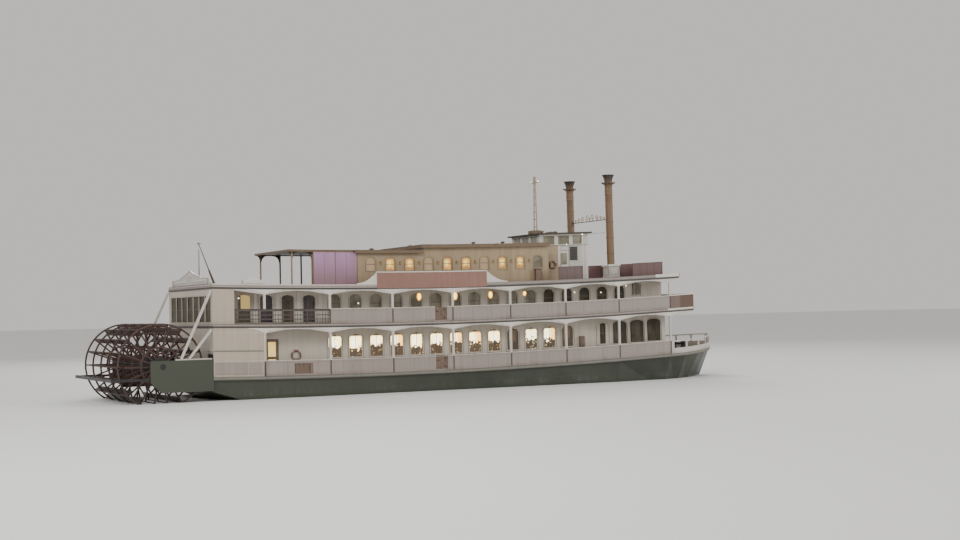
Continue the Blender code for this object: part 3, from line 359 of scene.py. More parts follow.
# %% Shader values
class Value:
    """Something that changes over a surface, for use in Python expressions."""

    def __init__(self, finish, socket):
        self.finish = finish
        self.socket = socket

    def __add__(self, other):
        return self.finish.maths("ADD", self, other)

    def __sub__(self, other):
        return self.finish.maths("SUBTRACT", self, other)

    def __rsub__(self, other):
        return self.finish.maths("SUBTRACT", other, self)

    def __mul__(self, other):
        return self.finish.maths("MULTIPLY", self, other)

    def __truediv__(self, other):
        return self.finish.maths("DIVIDE", self, other)

    def __rtruediv__(self, other):
        return self.finish.maths("DIVIDE", other, self)

    def __pow__(self, other):
        return self.finish.maths("POWER", self, other)

    __radd__ = __add__
    __rmul__ = __mul__


# %% Finishes
class Finish:
    """A material and the one method that makes its nodes."""

    def __init__(self, name):
        self.material = bpy.data.materials.new(name)
        self.material.use_nodes = True
        self.tree = self.material.node_tree
        self.shader = self.tree.nodes["Principled BSDF"]
        self.place = self.node("ShaderNodeTexCoord", {}, output="Object")
        parts = [self.node("ShaderNodeSeparateXYZ", {}, self.place, output=axis) for axis in "XYZ"]
        self.x, self.y, self.z = parts
        along = self.x / BAY + (AMIDSHIPS - SHEER_LOW)
        self.level = self.z - along * along * SHEER_RISE

    def feed(self, socket, value):
        if isinstance(value, Value):
            self.tree.links.new(value.socket, socket)
        elif isinstance(value, tuple) and len(value) == 3 and socket.type == "RGBA":
            socket.default_value = (*value, 1)
        elif value is not None:
            socket.default_value = value

    def node(self, kind, settings, *inputs, output=0, **named):
        made = self.tree.nodes.new(kind)
        for key, value in settings.items():
            setattr(made, key, value)
        for key, value in [*enumerate(inputs), *named.items()]:
            self.feed(made.inputs[key], value)
        return Value(self, made.outputs[output])

    def maths(self, operation, *values):
        return self.node("ShaderNodeMath", {"operation": operation}, *values)

    def blend(self, amount, first, second):
        """Colour first where amount is 0 and second where it is 1."""
        mixed = self.tree.nodes.new("ShaderNodeMix")
        mixed.data_type = "RGBA"
        for key, value in ((0, amount), (6, first), (7, second)):
            self.feed(mixed.inputs[key], value)
        return Value(self, mixed.outputs[2])

    def noise(self, scale, detail, stretch=None):
        """Cloudy variation; scale is about the number of blotches in a metre."""
        place = self.place
        if stretch:
            place = self.node("ShaderNodeVectorMath", {"operation": "MULTIPLY"}, self.place, stretch)
        return self.node("ShaderNodeTexNoise", {}, Vector=place, Scale=scale, Detail=detail)

    def ease(self, value, low, high):
        """0 below low, 1 above high and smooth between them."""
        return self.node("ShaderNodeMapRange", {"interpolation_type": "SMOOTHSTEP"}, value, low, high)

    def line(self, value, pitch, width):
        """1 on lines a pitch apart and 0 between them."""
        return 1 - self.ease(self.maths("PINGPONG", value, pitch / 2), width * 0.3, width)

    def step(self, value, pitch):
        """A random number for each strip of the given pitch."""
        strip = self.maths("FLOOR", value / pitch)
        return self.node("ShaderNodeTexWhiteNoise", {"noise_dimensions": "1D"}, W=strip)

    def done(self, colour, rough, height=None, bump=0.3, depth=0.002, **others):
        """Feed the shader and give back the material."""
        self.feed(self.shader.inputs["Base Color"], colour)
        self.feed(self.shader.inputs["Roughness"], rough)
        if height is not None:
            raised = self.node("ShaderNodeBump", {}, Height=height, Strength=bump, Distance=depth)
            self.feed(self.shader.inputs["Normal"], raised)
        for name, value in others.items():
            self.feed(self.shader.inputs[name.replace("_", " ")], value)
        return self.material


# %% [markdown]
# Paintwork.
# The upper works are white oil paint on boards and plate. It is not clean: rain leaves faint
# upright streaks, the foot of each wall is splashed from the deck, and the brush leaves a fine
# ripple. One recipe makes all of the painted finishes from a colour, a dirt colour and how
# strongly each of these shows. Board seams are added where the real wall has them, and a mask
# can paint one part of a solid in a second colour.


# %% Paint recipe
def toned(colour, share):
    """The same colour, darker or lighter."""
    return tuple(min(part * share, 1) for part in colour)


def paintwork(name, colour, dirt, rough, dirty, seams=None, decks=(), gloss=0.0, second=None):
    """Brushed and weathered paint.

    seams is the distance between two seams along the ship, decks are the levels it stands on, and
    second is a mask and the colour that the mask paints over the first.
    """
    finish = Finish(name)
    clouds = finish.noise(0.7, 4.0)
    streaks = finish.noise(1.0, 4.0, (7.0, 7.0, 0.35))
    grain = finish.noise(45.0, 3.0)
    soil = finish.ease(clouds * 0.5 + streaks * 0.6, 0.50, 0.85) * dirty
    for deck in decks:
        splash = 1 - finish.ease(finish.level - deck, 0.01, 0.16)
        above = finish.ease(finish.level - deck, -0.03, 0.0)
        soil = soil + splash * above * finish.ease(grain * 0.4 + clouds, 0.45, 0.9) * dirty
    height = grain * 0.35 + streaks * 0.3
    tint = finish.ease(clouds * 0.7 + grain * 0.3, 0.3, 0.7)
    light = finish.blend(tint, toned(colour, 0.9), toned(colour, 1.06))
    if second:
        mask, other = second
        light = finish.blend(mask(finish), light, other)
    if seams:
        gap = finish.line(finish.x, seams, 0.006)
        light = finish.blend(finish.step(finish.x, seams) * 0.07, light, dirt)
        light = finish.blend(gap * 0.45, light, dirt)
        height = height - gap * 1.5
    rough_value = rough + clouds * 0.12 + soil * 0.15 - 0.06
    return finish.done(finish.blend(soil, light, dirt), rough_value, height, 0.35, 0.003,
                       Coat_Weight=gloss)


# %% Masks for a second colour
PILOT_LEDGE = 5.2
BUFF_END = 5.28
RAIL_END = 1.0
BALCONY_RED_START = 7.2
MAROON_START = 5.6
LOW_ROOF = TOP_LINE + 1.4


def aft_of(bay):
    """A mask that is 1 aft of a bay."""
    return lambda finish: 1 - finish.ease(finish.x, at(bay) - 0.003, at(bay) - 0.001)


def shaded_quarter(finish):
    """A mask that is 1 on the ship's sides aft of the first post, where the walls are given a painted shade.
    """
    return aft_of(0)(finish) * finish.ease(finish.x, at(STERN) + 0.01, at(STERN) + 0.012)


def under_ledge(finish):
    """A mask that is 1 on the pilot house aft of its door and below its windows."""
    return aft_of(BUFF_END)(finish) * (1 - finish.ease(finish.level, PILOT_LEDGE - 0.01, PILOT_LEDGE))


def on_canvas(finish):
    """A mask that is 1 on the shelter's roof."""
    return finish.ease(finish.level, LOW_ROOF - 0.07, LOW_ROOF - 0.065)


# %% Paints of the upper works
BUFF_COLOUR = (0.37, 0.275, 0.165)
PANEL_COLOURS = ((0.315, 0.265, 0.235), (0.16, 0.125, 0.105))
CREAM = paintwork("cream_paint", (0.56, 0.51, 0.455), (0.26, 0.215, 0.17), 0.42, 0.45,
                  decks=(MAIN_DECK, UPPER_DECK, TOP_DECK), gloss=0.1)
# On the quarter's sides the wall paint is darker and yellower as painted shade; the stern wall keeps the
# plain colour.
WALLS = paintwork("wall_paint", (0.56, 0.50, 0.415), (0.25, 0.22, 0.17), 0.5, 0.45, BAY / 6,
                  (MAIN_DECK, UPPER_DECK), second=(shaded_quarter, (0.45, 0.375, 0.295)))
# A lighter copy of the cream paint: the white of the trim, and a painted highlight on the brackets, caps and
# edges that catch the light.
WHITE_TRIM_AND_HIGHLIGHT = paintwork("white_trim_and_highlight_paint", (0.66, 0.62, 0.56), (0.36, 0.31, 0.25), 0.38, 0.3, gloss=0.15)
PANELS = paintwork("bulwark_paint", *PANEL_COLOURS, 0.45, 0.55, BAY / 3, (MAIN_DECK, UPPER_DECK))
# Aft of RAIL_END the bulwark behind the open rail's bars is painted near black as painted shade.
RAILED = paintwork("upper_bulwark_paint", *PANEL_COLOURS, 0.45, 0.55, BAY / 3, (UPPER_DECK,),
                   second=(aft_of(RAIL_END), (0.07, 0.06, 0.05)))
GUARD = paintwork("guard_strip_paint", (0.20, 0.195, 0.165), (0.10, 0.11, 0.09), 0.5, 0.8)
BUFF = paintwork("buff_paint", BUFF_COLOUR, (0.13, 0.10, 0.06), 0.5, 0.45, BAY / 9, (TOP_DECK,))
PILOT_PAINT = paintwork("pilot_house_paint", (0.55, 0.53, 0.49), (0.22, 0.20, 0.17), 0.45, 0.4,
                        BAY / 9, (TOP_DECK,), second=(under_ledge, BUFF_COLOUR))
BOARD_RED = paintwork("board_red_paint", (0.27, 0.142, 0.108), (0.13, 0.07, 0.055), 0.42, 0.5,
                      BAY / 4, gloss=0.1)
BALCONY_RED = paintwork("balcony_red_paint", (0.112, 0.061, 0.037), (0.06, 0.034, 0.023), 0.42, 0.5,
                        BAY / 12, gloss=0.1, second=(aft_of(BALCONY_RED_START), (0.155, 0.105, 0.088)))
MAROON = paintwork("maroon_paint", (0.135, 0.070, 0.066), (0.06, 0.036, 0.034), 0.45, 0.5,
                   BAY / 10, second=(aft_of(MAROON_START), (0.155, 0.105, 0.095)))
SHADOW = paintwork("shadow_line_paint", (0.055, 0.048, 0.042), (0.02, 0.018, 0.016), 0.5, 0.4)
POST_BROWN = paintwork("post_foot_paint", (0.075, 0.045, 0.035), (0.04, 0.025, 0.02), 0.5, 0.4)
SASH = paintwork("sash_paint", (0.13, 0.105, 0.075), (0.05, 0.04, 0.03), 0.4, 0.3)
FASCIA = paintwork("fascia_paint", (0.17, 0.115, 0.068), (0.07, 0.048, 0.03), 0.5, 0.5, BAY / 2)
SHELTER = paintwork("shelter_paint", (0.30, 0.215, 0.14), (0.13, 0.09, 0.06), 0.5, 0.4,
                    second=(on_canvas, (0.085, 0.068, 0.052)))
BUOY = paintwork("lifebuoy_paint", (0.19, 0.085, 0.055), (0.09, 0.05, 0.035), 0.5, 0.3)

# %% [markdown]
# The hull's plates.
# Below the guard the hull is dark green, nearly black. It is welded from plates about a bay
# long, and thin plate springs a little between its frames, so the light waves along it. A pale
# line of dried salt and a green one of weed run just above the water.


# %% Hull plating
def hull_plating():
    finish = Finish("hull_plating")
    clouds = finish.noise(0.8, 4.0)
    fine = finish.noise(30.0, 3.0)
    streaks = finish.noise(1.3, 4.0, (5.0, 5.0, 0.4))
    seam = finish.line(finish.x, BAY, 0.012) + finish.line(finish.level - 0.2, 0.9, 0.012)
    frames = finish.maths("SINE", finish.x * (math.tau / (BAY / 4)))
    paint = finish.blend(finish.ease(clouds, 0.35, 0.65), (0.026, 0.032, 0.020), (0.040, 0.047, 0.031))
    paint = finish.blend(finish.ease(finish.x, at(0.5), at(3.5)), (0.048, 0.054, 0.037), paint)
    rust = finish.ease(streaks * 0.8 + fine * 0.3, 0.62, 0.85)
    colour = finish.blend(rust * 0.4, paint, (0.065, 0.042, 0.027))
    wet = 1 - finish.ease(finish.z, 0.02, 0.1)
    weed = (1 - finish.ease(finish.z, 0.04, 0.16)) * finish.ease(fine + clouds * 0.6, 0.6, 0.95)
    colour = finish.blend(weed * 0.7, colour, (0.02, 0.028, 0.010))
    salt = finish.ease(finish.z, 0.06, 0.15) * (1 - finish.ease(finish.z, 0.16, 0.42))
    dried = finish.ease(streaks * 0.5 + clouds * 0.5, 0.45, 0.75)
    colour = finish.blend(salt * dried * 0.3, colour, (0.16, 0.16, 0.135))
    height = frames * 0.5 + fine * 0.12 + seam * 0.9
    return finish.done(colour, 0.38 + clouds * 0.2 - wet * 0.22, height, 0.4, 0.012, Coat_Weight=0.1)


HULL = hull_plating()

# %% [markdown]
# Deck boards.
# The walking decks are narrow planks that run fore and aft, with dark caulking between them and
# a butt every few metres. The edge of the deck is a painted board, and the underside, which is
# the ceiling of the deck below, is painted too. One finish does all three, because the height
# above the water, less the sheer, says which of them a point is on.


# %% Deck planking
def deck_planking(name, decks, wood, edge):
    finish = Finish(name)
    side = finish.maths("ABSOLUTE", finish.y)
    pitch = 0.075
    board_number = finish.step(finish.y, pitch)
    butt = finish.line(finish.x + board_number * 3.0, 2.2, 0.006)
    gap = finish.line(finish.y, pitch, 0.006)
    grain = finish.noise(14.0, 4.0, (0.25, 4.0, 4.0))
    clouds = finish.noise(0.9, 3.0)
    plank = finish.blend(board_number * 0.6 + grain * 0.4, toned(wood, 0.72), wood)
    plank = finish.blend(finish.ease(clouds, 0.4, 0.7) * 0.4, plank, (0.24, 0.22, 0.20))
    plank = finish.blend(gap + butt, plank, (0.035, 0.03, 0.027))
    painted = finish.blend(finish.ease(clouds + grain * 0.3, 0.4, 0.9), edge, toned(edge, 0.78))
    top = None
    for deck in decks:
        over = finish.ease(finish.level - deck, -0.02, -0.012)
        under = 1 - finish.ease(finish.level - deck, 0.02, 0.03)
        top = over * under if top is None else top + over * under
    walked = top * (1 - finish.ease(side, HALF_BEAM - 0.06, HALF_BEAM - 0.055))
    colour = finish.blend(walked, painted, plank)
    height = grain * 0.3 - (gap + butt) * walked * 1.2
    return finish.done(colour, 0.62 + grain * 0.15 - walked * 0.05, height, 0.35, 0.003)


DECKS = deck_planking("deck_planking", (MAIN_DECK, UPPER_DECK), (0.30, 0.225, 0.165),
                      (0.17, 0.145, 0.125))

# %% [markdown]
# Roof canvas.
# The top deck and the roofs are covered with painted canvas, laid in strips with lapped seams,
# grey-brown from soot and sun. Strips and laps are lines across the ship, and the weave is a
# very fine ripple. The same finish paints the board at the top deck's edge, dull forward and
# pale aft, where the paler colour is a painted reflection of the sky's glow.


# %% Canvas
def canvas(name, colour, dirt, strip, edge=None):
    """Painted canvas; edge is the colours of the deck's edge aft and forward, the aft one pale with a
    painted reflection of the sky's glow.
    """
    finish = Finish(name)
    clouds = finish.noise(0.8, 5.0)
    weave = finish.noise(160.0, 2.0)
    stain = finish.ease(finish.noise(2.2, 5.0), 0.5, 0.75)
    lap = finish.line(finish.x, strip, 0.02)
    base = finish.blend(clouds, colour, toned(colour, 0.7))
    for amount in (finish.step(finish.x, strip) * 0.3, stain * 0.5, lap * 0.4):
        base = finish.blend(amount, base, dirt)
    if edge:
        side = finish.maths("ABSOLUTE", finish.y)
        rim = finish.ease(side, HALF_BEAM - 0.05, HALF_BEAM - 0.045)
        under = 1 - finish.ease(finish.level - TOP_DECK, -0.02, -0.012)
        # Edge and underside are dull forward and pale aft; the pale aft colour is a painted reflection of
        # the sky's glow.
        fore = finish.blend(finish.ease(finish.x, at(0.6), at(4.6)), *edge)
        base = finish.blend(rim + under * (1 - rim), base, fore)
    return finish.done(base, 0.72 + clouds * 0.15, weave * 0.2 + lap * 0.8 + clouds * 0.4, 0.4, 0.004)


# The edge colours: pale aft, a painted reflection of the sky's glow, and dull forward.
TOP_CANVAS = canvas("top_deck_canvas", (0.17, 0.15, 0.135), (0.10, 0.085, 0.075), 0.9,
                    ((0.58, 0.50, 0.45), (0.24, 0.21, 0.185)))
ROOF = canvas("roof_canvas", (0.085, 0.068, 0.052), (0.045, 0.036, 0.03), 0.7)

# %% [markdown]
# Timber, iron and brass.
# Doors and gates are varnished. Grain is noise pulled long up the wood, with slow bands across
# it. The wheel is painted timber that is always wet low down, worn to bare wood at the edges of
# its boards. Ironwork is paint that has gone brown in patches, black on most of the fittings.


# %% Timber and iron
def varnish(name, dark, light):
    finish = Finish(name)
    up_the_wood = (9.0, 9.0, 0.7)
    grain = finish.noise(6.0, 5.0, up_the_wood)
    bands = finish.noise(1.4, 2.0, up_the_wood)
    worn = finish.ease(finish.noise(3.0, 4.0), 0.55, 0.75)
    colour = finish.blend(finish.ease(grain * 0.7 + bands * 0.4, 0.35, 0.75), dark, light)
    colour = finish.blend(worn * 0.3, colour, (0.24, 0.18, 0.125))
    return finish.done(colour, 0.32 + worn * 0.25, grain, 0.25, 0.002, Coat_Weight=0.4,
                       Coat_Roughness=0.25)


def wheel_timber():
    finish = Finish("wheel_timber")
    clouds = finish.noise(1.2, 4.0)
    grain = finish.noise(9.0, 4.0, (2.0, 0.3, 2.0))
    chips = finish.ease(finish.noise(12.0, 5.0), 0.6, 0.68)
    wet = 1 - finish.ease(finish.z, 0.15, 0.75)
    paint = finish.blend(clouds, (0.042, 0.021, 0.016), (0.078, 0.036, 0.027))
    colour = finish.blend(chips * 0.5, paint, (0.12, 0.085, 0.06))
    colour = finish.blend(wet * 0.55, colour, (0.022, 0.015, 0.012))
    return finish.done(colour, 0.58 - wet * 0.28 + grain * 0.15, grain + chips * -0.5, 0.4, 0.003)


def ironwork(name, colour, rust, metal=0.4, rough=0.42, soot=None):
    """Painted iron; soot is the height where it begins and the height where all is black."""
    finish = Finish(name)
    clouds = finish.noise(1.8, 4.0)
    fine = finish.noise(60.0, 3.0)
    spots = finish.ease(clouds * 0.6 + fine * 0.5, 0.56, 0.75)
    shade = finish.blend(clouds, colour, toned(colour, 1.5))
    shade = finish.blend(spots * 0.6, shade, rust)
    if soot:
        shade = finish.blend(finish.ease(finish.z, *soot), shade, (0.018, 0.016, 0.016))
    return finish.done(shade, rough + spots * 0.3, fine * 0.3 + spots * 0.4, 0.3, 0.002, Metallic=metal)


WOOD = varnish("varnished_wood", (0.070, 0.042, 0.028), (0.205, 0.135, 0.09))
WHEEL = wheel_timber()
IRON = ironwork("dark_iron", (0.028, 0.028, 0.03), (0.10, 0.055, 0.035))
STACK = ironwork("stack_paint", (0.14, 0.086, 0.05), (0.23, 0.13, 0.06), 0.15, 0.45, (7.4, 8.2))
MAST = ironwork("mast_paint", (0.27, 0.215, 0.135), (0.15, 0.10, 0.06), 0.1, 0.5)
POLE = ironwork("pole_paint", (0.085, 0.055, 0.035), (0.16, 0.10, 0.055), 0.1, 0.5)
GILT = ironwork("gilt_scrollwork", (0.34, 0.25, 0.11), (0.16, 0.10, 0.05), 0.6, 0.4)
BRASS = ironwork("brass", (0.40, 0.27, 0.10), (0.20, 0.12, 0.05), 0.8, 0.3)


# %% Repaint the solids
def both(name):
    return (name + "_starboard", name + "_port")


REPAINTED = (
    (HULL, "hull", *both("wheel_beam"), *both("rudder")),
    (DECKS, "main_deck", "upper_deck"),
    (TOP_CANVAS, "top_deck"),
    (PANELS, *both("main_bulwark")),
    (RAILED, *both("upper_bulwark")),
    (PILOT_PAINT, "pilot_house"),
    (CREAM, "bow_bulwark", "stern_pediment", *both("main_colonnade"), *both("upper_colonnade"),
     *both("stern_brace")),
    (WALLS, "main_front", "engine_room_wall", "upper_front", "stern_gallery", *both("main_side"),
     *both("upper_side")),
    (BUFF, *both("top_side"), "top_aft", "top_front"),
    (ROOF, "top_roof", "pilot_roof"),
    (SHELTER, "aft_canopy"),
    (BOARD_RED, *both("name_board")),
    (BALCONY_RED, "balcony_bulwark"),
    (MAROON, "forward_bulwark"),
    (STACK, *both("stack"), "stack_spreader"),
    (WHEEL, "paddle_wheel"),
    (IRON, "stern_guard", "engine_block"),
    (MAST, "mast"),
    (POLE, "flagstaff"),
    (WHITE_TRIM_AND_HIGHLIGHT, *both("pilot_door")),
    (WOOD, *both("main_side_door"), *both("main_front_door"), "upper_front_door", *both("main_gate"),
     *both("upper_gate")),
)
for finish, *names in REPAINTED:
    for name in names:
        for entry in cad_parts[name].material_slots:
            entry.material = finish
print("finishes:", len(bpy.data.materials))

# %% [markdown]
# The paddle wheel.
# The real wheel is five round frames of timber arms on iron hubs, each arm held by two rings,
# with a board of two planks bolted across all five frames at every arm. The solid has straight
# rings and plain boards, so a finer wheel stands for it. It is made round the upright axis,
# where spinning is simple, and then turned onto the shaft.

# %% Wheel frames
WHEEL_X = at(-1.48)
AXLE_HEIGHT = 1.2
WHEEL_HALF = 2.42
FRAME_THICK = 0.05
FRAME_PLACES = [-WHEEL_HALF + FRAME_THICK / 2 + (2 * WHEEL_HALF - FRAME_THICK) / 4 * n for n in range(5)]
ARMS = 18
ARM_TURN = 360 / ARMS
ARM_WIDTH = 0.05
RIM = (1.375, 1.43)
INNER_RING = (0.62, 0.67)
AXLE = move(WHEEL_X, 0, AXLE_HEIGHT)
LIE_DOWN = spun(-90, "X")


def ring(inner, outer, thick, sides):
    """A flat ring lying round the shaft."""
    return turned(oblong((inner, outer), spread(0, thick / 2)), sides, closed=True)


wheel, iron = meshes(2)
for place in FRAME_PLACES:
    stand = AXLE @ move(y=place)
    put(wheel, ring(*RIM, FRAME_THICK * 0.9, 72), stand @ LIE_DOWN)
    put(wheel, ring(*INNER_RING, FRAME_THICK * 1.3, 48), stand @ LIE_DOWN)
    for arm in range(ARMS):
        block(wheel, (0.12, RIM[1] - 0.01), spread(0, FRAME_THICK / 2), spread(0, ARM_WIDTH / 2),
              0.006, stand @ spun(ARM_TURN * arm, "Y"))

# %% Wheel boards
BOARD_ROWS = ((1.185, 1.30), (1.31, 1.425))
for arm in range(ARMS):
    turn = AXLE @ spun(ARM_TURN * arm, "Y")
    for row in BOARD_ROWS:
        block(wheel, row, spread(0, WHEEL_HALF), (-0.022, 0.012), 0.005, turn)
piece("wheel_timbers", wheel, WHEEL, "paddle_wheel", stands_for=("paddle_wheel",))

# %% Wheel ironwork
HUB = [(0.09, -0.07), (0.13, -0.07), (0.14, -0.045), (0.30, -0.035), (0.30, 0.035), (0.14, 0.045),
       (0.13, 0.07), (0.09, 0.07)]
SHAFT_HALF = 2.705
SHAFT_RADIUS = 0.1
put(iron, turned(oblong((0, SHAFT_RADIUS), spread(0, SHAFT_HALF)), 32), AXLE @ LIE_DOWN)
for place in FRAME_PLACES:
    stand = AXLE @ move(y=place)
    put(iron, turned(HUB, 32, closed=True), stand @ LIE_DOWN)
    for arm in range(ARMS):
        turn = stand @ spun(ARM_TURN * arm, "Y")
        block(iron, (0.22, 0.245), spread(0, 0.05), spread(0, 0.012), 0, turn)
        for row in BOARD_ROWS:
            block(iron, spread(sum(row) / 2, 0.012), spread(0, 0.012), (-0.036, 0.03), 0, turn)
for arm in range(0, ARMS, 3):
    put(iron, rod((0.645, -WHEEL_HALF, 0), (0.645, WHEEL_HALF, 0), 0.014),
        AXLE @ spun(ARM_TURN * (arm + 0.5), "Y"))
piece("wheel_ironwork", iron, IRON, "paddle_wheel")

# %% [markdown]
# The stacks.
# Each stack is a tall painted tube with riveted bands. Near the top it swells into a collar of
# leaves that curl outwards, and above that into a flared crown cut into points. A stack is a
# turned shape, so it is one spin; the points are made by drawing every second corner of the rim
# inwards and down. It stands in a square casing with a white cap.

# %% Stack profile
STACK_FOOT = at(6.2)
STACK_LIFT = sheer(STACK_FOOT)
STACK_SIDE = 1.475
STACK_RADIUS = 0.146
STACK_TOP = 8.05
STACK_RAKE = 0.012
CASING_TOP = TOP_DECK + 0.42
CROWN_FOOT = STACK_TOP - 0.325 - STACK_LIFT
BAND = STACK_RADIUS + 0.012
BAND_PITCH = 0.62
NECK = [(-0.48, 0), (-0.45, 0.014), (-0.42, 0.014), (-0.39, 0.002), (-0.30, 0.012), (-0.22, 0.002),
        (-0.12, 0.006), (-0.06, 0.022)]
CROWN = [(0.22, -0.045), (0.262, -0.015), (0.282, 0.03), (0.262, 0.03), (0.205, 0.005), (0.158, 0.015),
         (0.154, 0.06), (0.166, 0.14), (0.194, 0.22), (0.225, 0.29), (0.25, 0.325), (0.235, 0.325),
         (0.165, 0.2), (0.135, 0.1), (0.12, -0.1), (0, -0.1)]
stack_profile = [(0, TOP_DECK + 0.05), (STACK_RADIUS, TOP_DECK + 0.05)]
level = CASING_TOP + 0.5
while level < CROWN_FOOT - 0.5:
    stack_profile += [(STACK_RADIUS, level), (BAND, level + 0.005), (BAND, level + 0.045),
                      (STACK_RADIUS, level + 0.05)]
    level += BAND_PITCH
stack_profile += [(STACK_RADIUS + swell, CROWN_FOOT + rise) for rise, swell in NECK]
stack_profile += [(radius, CROWN_FOOT + rise) for radius, rise in CROWN]

# %% Stacks
LEAVES = 12
stacks = bmesh.new()
lean = Matrix.Identity(4)
lean[0][2] = -STACK_RAKE
for side in (-1, 1):
    stack = turned(stack_profile, 2 * LEAVES)
    for vert in stack.verts:
        reach = Vector((vert.co.x, vert.co.y)).length
        step = round(math.atan2(vert.co.y, vert.co.x) / (math.tau / (2 * LEAVES)))
        is_rim = reach > 0.22 and vert.co.z > CROWN_FOOT + 0.3
        is_leaf = reach > 0.25 and vert.co.z < CROWN_FOOT + 0.1
        if step % 2 and (is_rim or is_leaf):
            pull, drop = (0.975, 0.01) if is_rim else (0.89, 0.025)
            vert.co.x *= pull
            vert.co.y *= pull
            vert.co.z -= drop
    put(stacks, stack, move(STACK_FOOT + STACK_RAKE * TOP_DECK, side * STACK_SIDE, STACK_LIFT) @ lean)
piece("stack_tubes", stacks, STACK, smooth=25, stands_for=both("stack"))

# %% Stack casings
CASING_HALF = 0.2375
casings, caps = meshes(2)


def casing_block(whole, half, foot, head, ease):
    block(whole, spread(STACK_FOOT, half), spread(-STACK_SIDE, half), (foot, head), ease)


casing_block(casings, CASING_HALF, TOP_DECK, TOP_DECK + 0.42, 0.008)
casing_block(casings, CASING_HALF + 0.03, CASING_TOP, CASING_TOP + 0.08, 0.008)
casing_block(casings, CASING_HALF + 0.015, TOP_DECK, TOP_DECK + 0.06, 0.008)
casing_block(caps, CASING_HALF + 0.036, CASING_TOP + 0.01, CASING_TOP + 0.088, 0.01)
for turn in range(4):
    put(casings, hoop(oblong(spread(0, 0.17), (0.11, 0.36)), 0.025, 0.02),
        move(STACK_FOOT, -STACK_SIDE, TOP_DECK) @ spun(90 * turn) @ move(y=-CASING_HALF - 0.01))
bent_pair("stack_casings", casings, CREAM, "cream_paint")
# The caps take the lighter white as a painted highlight of the sun on them.
bent_pair("stack_casing_caps", caps, WHITE_TRIM_AND_HIGHLIGHT, "cream_paint")

# %% [markdown]
# Rails and panel seams of the bulwarks.
# The bulwark round each deck is boarded in panels, three to a bay, with a slim rounded rail
# on top. Where a post of the colonnade comes down in front of it, it is painted dark brown.
# Rails and battens are sawn straight and then bent with the sheer.

# %% Bulwark trim
BULWARK_TOP = 0.5
GATE = (2.7, 2.9)
rails, battens, post_feet = meshes(3)
for deck, start, first in ((MAIN_DECK, at(0) + 0.02, 0), (UPPER_DECK, at(RAIL_END), 3)):
    top = deck + BULWARK_TOP
    for third in range(first, 22):
        x = at(third / 3)
        if third % 3 == 0:
            board(post_feet, spread(x, 0.021), 0.012, 0.01, (deck + 0.01, top))
        elif not GATE[0] - 0.1 < third / 3 < GATE[1] + 0.1:
            board(battens, spread(x, 0.011), 0.008, 0.01, (deck + 0.06, top - 0.01))
    for run in ((start, at(GATE[0])), (at(GATE[1]), at(7))):
        board(rails, run, 0.013, 0.055, (top, top + 0.03), 0.008)
        board(battens, run, 0.009, 0.01, (deck + 0.005, deck + 0.06))
        board(battens, run, 0.007, 0.01, (top - 0.05, top - 0.02))
bent_pair("bulwark_rails", rails, CREAM, "cream_paint")
bent_pair("bulwark_battens", battens, PANELS, "cream_paint")
bent_pair("post_feet", post_feet, POST_BROWN, "varnished_wood")

# %% [markdown]
# Deck edges.
# Each deck ends in a thick board. A round moulding runs along its middle, and under it, at the
# head of the colonnade, there is a thin dark line. The main deck has a grey rubbing strip that
# takes the quay, and follows the curve of the bow to the stem.

# %% Edge mouldings
HALF_ROUND = [(-0.004, -0.03), (0.008, -0.026), (0.014, -0.012), (0.014, 0.012), (0.008, 0.026),
              (-0.004, 0.03)]
STRIP = [(-0.006, -0.034), (0.013, -0.03), (0.013, 0.03), (-0.006, 0.034)]
noses, shadows, guards = meshes(3)


def round_the_ship(path):
    """A starboard path, and back along the port side."""
    return [*path, *[(x, -y, z) for x, y, z in reversed(path)]]


for line, deck, front in ((UPPER_LINE, UPPER_DECK, 7.47), (TOP_LINE, TOP_DECK, 7.19)):
    marks = [at(STERN), *[at(post) for post in range(8)], at(front)]
    path = [(x, -HALF_BEAM, (line + deck) / 2 + 0.015 + sheer(x)) for x in marks]
    put(noses, moulding(round_the_ship(path), HALF_ROUND, closed=True))
piece("deck_noses", noses, PANELS)

for line, thick, front in ((UPPER_LINE, 0.033, 7.46), (TOP_LINE, 0.05, 7.18)):
    levels = (line - 0.012, line + thick)
    board(shadows, (at(STERN), at(front)), 0.014, 0.01, levels, 0.002)
    block(shadows, (at(STERN) - 0.014, at(STERN) + 0.01), (-OUTER - 0.014, 0), levels, 0.002)
bent_pair("shadow_lines", shadows, SHADOW, "roof_paint")

marks = [at(STERN), *[at(post) for post in range(9)], *[at(bay) for bay in BOW_BAYS], at(BOW_TIP) - 0.001]
marks = sorted({round(x, 4) for x in marks})
path = [(x, -half_beam(x), (HULL_TOP + MAIN_DECK) / 2 + sheer(x)) for x in marks]
put(guards, moulding(round_the_ship(path), STRIP, closed=True))
piece("guard_strip", guards, GUARD)

# %% [markdown]
# Windows.
# Every opening in the saloon walls has a frame that stands a little proud, a sill that throws
# off the rain, a sash with a bar across it and a pane. Openings are made once in the plane of
# the wall, at zero, and put in place by a matrix. The panes go into one mesh for each kind of
# light behind them: lamps on, lamps low, blind down, or dark.

# %% Window parts
MAIN_WINDOW = (0.50, 0.575, 1.385, 0.15)
WIDE_WINDOW = (0.575, 0.55, 1.39, 0.10)
SMALL_WINDOW = (0.30, 0.64, 1.06, 0.05)
UPPER_WINDOW = (0.43, 0.36, 1.03, 0.14)
TALL_WINDOW = (0.43, 0.06, 1.0, 0.08)
FRONT_WINDOW = (0.42, 0.45, 1.0, 0.1)
TOP_WINDOW = (0.33, 0.51, 0.96, 0.1)
FRAME_WIDE = 0.035
frames, buff_frames, sashes, boarding = meshes(4)
panes = {kind: bmesh.new() for kind in
         ("lit", "half", "low", "dark", "dim", "blind", "lamp", "drawn", "plum", "brown")}


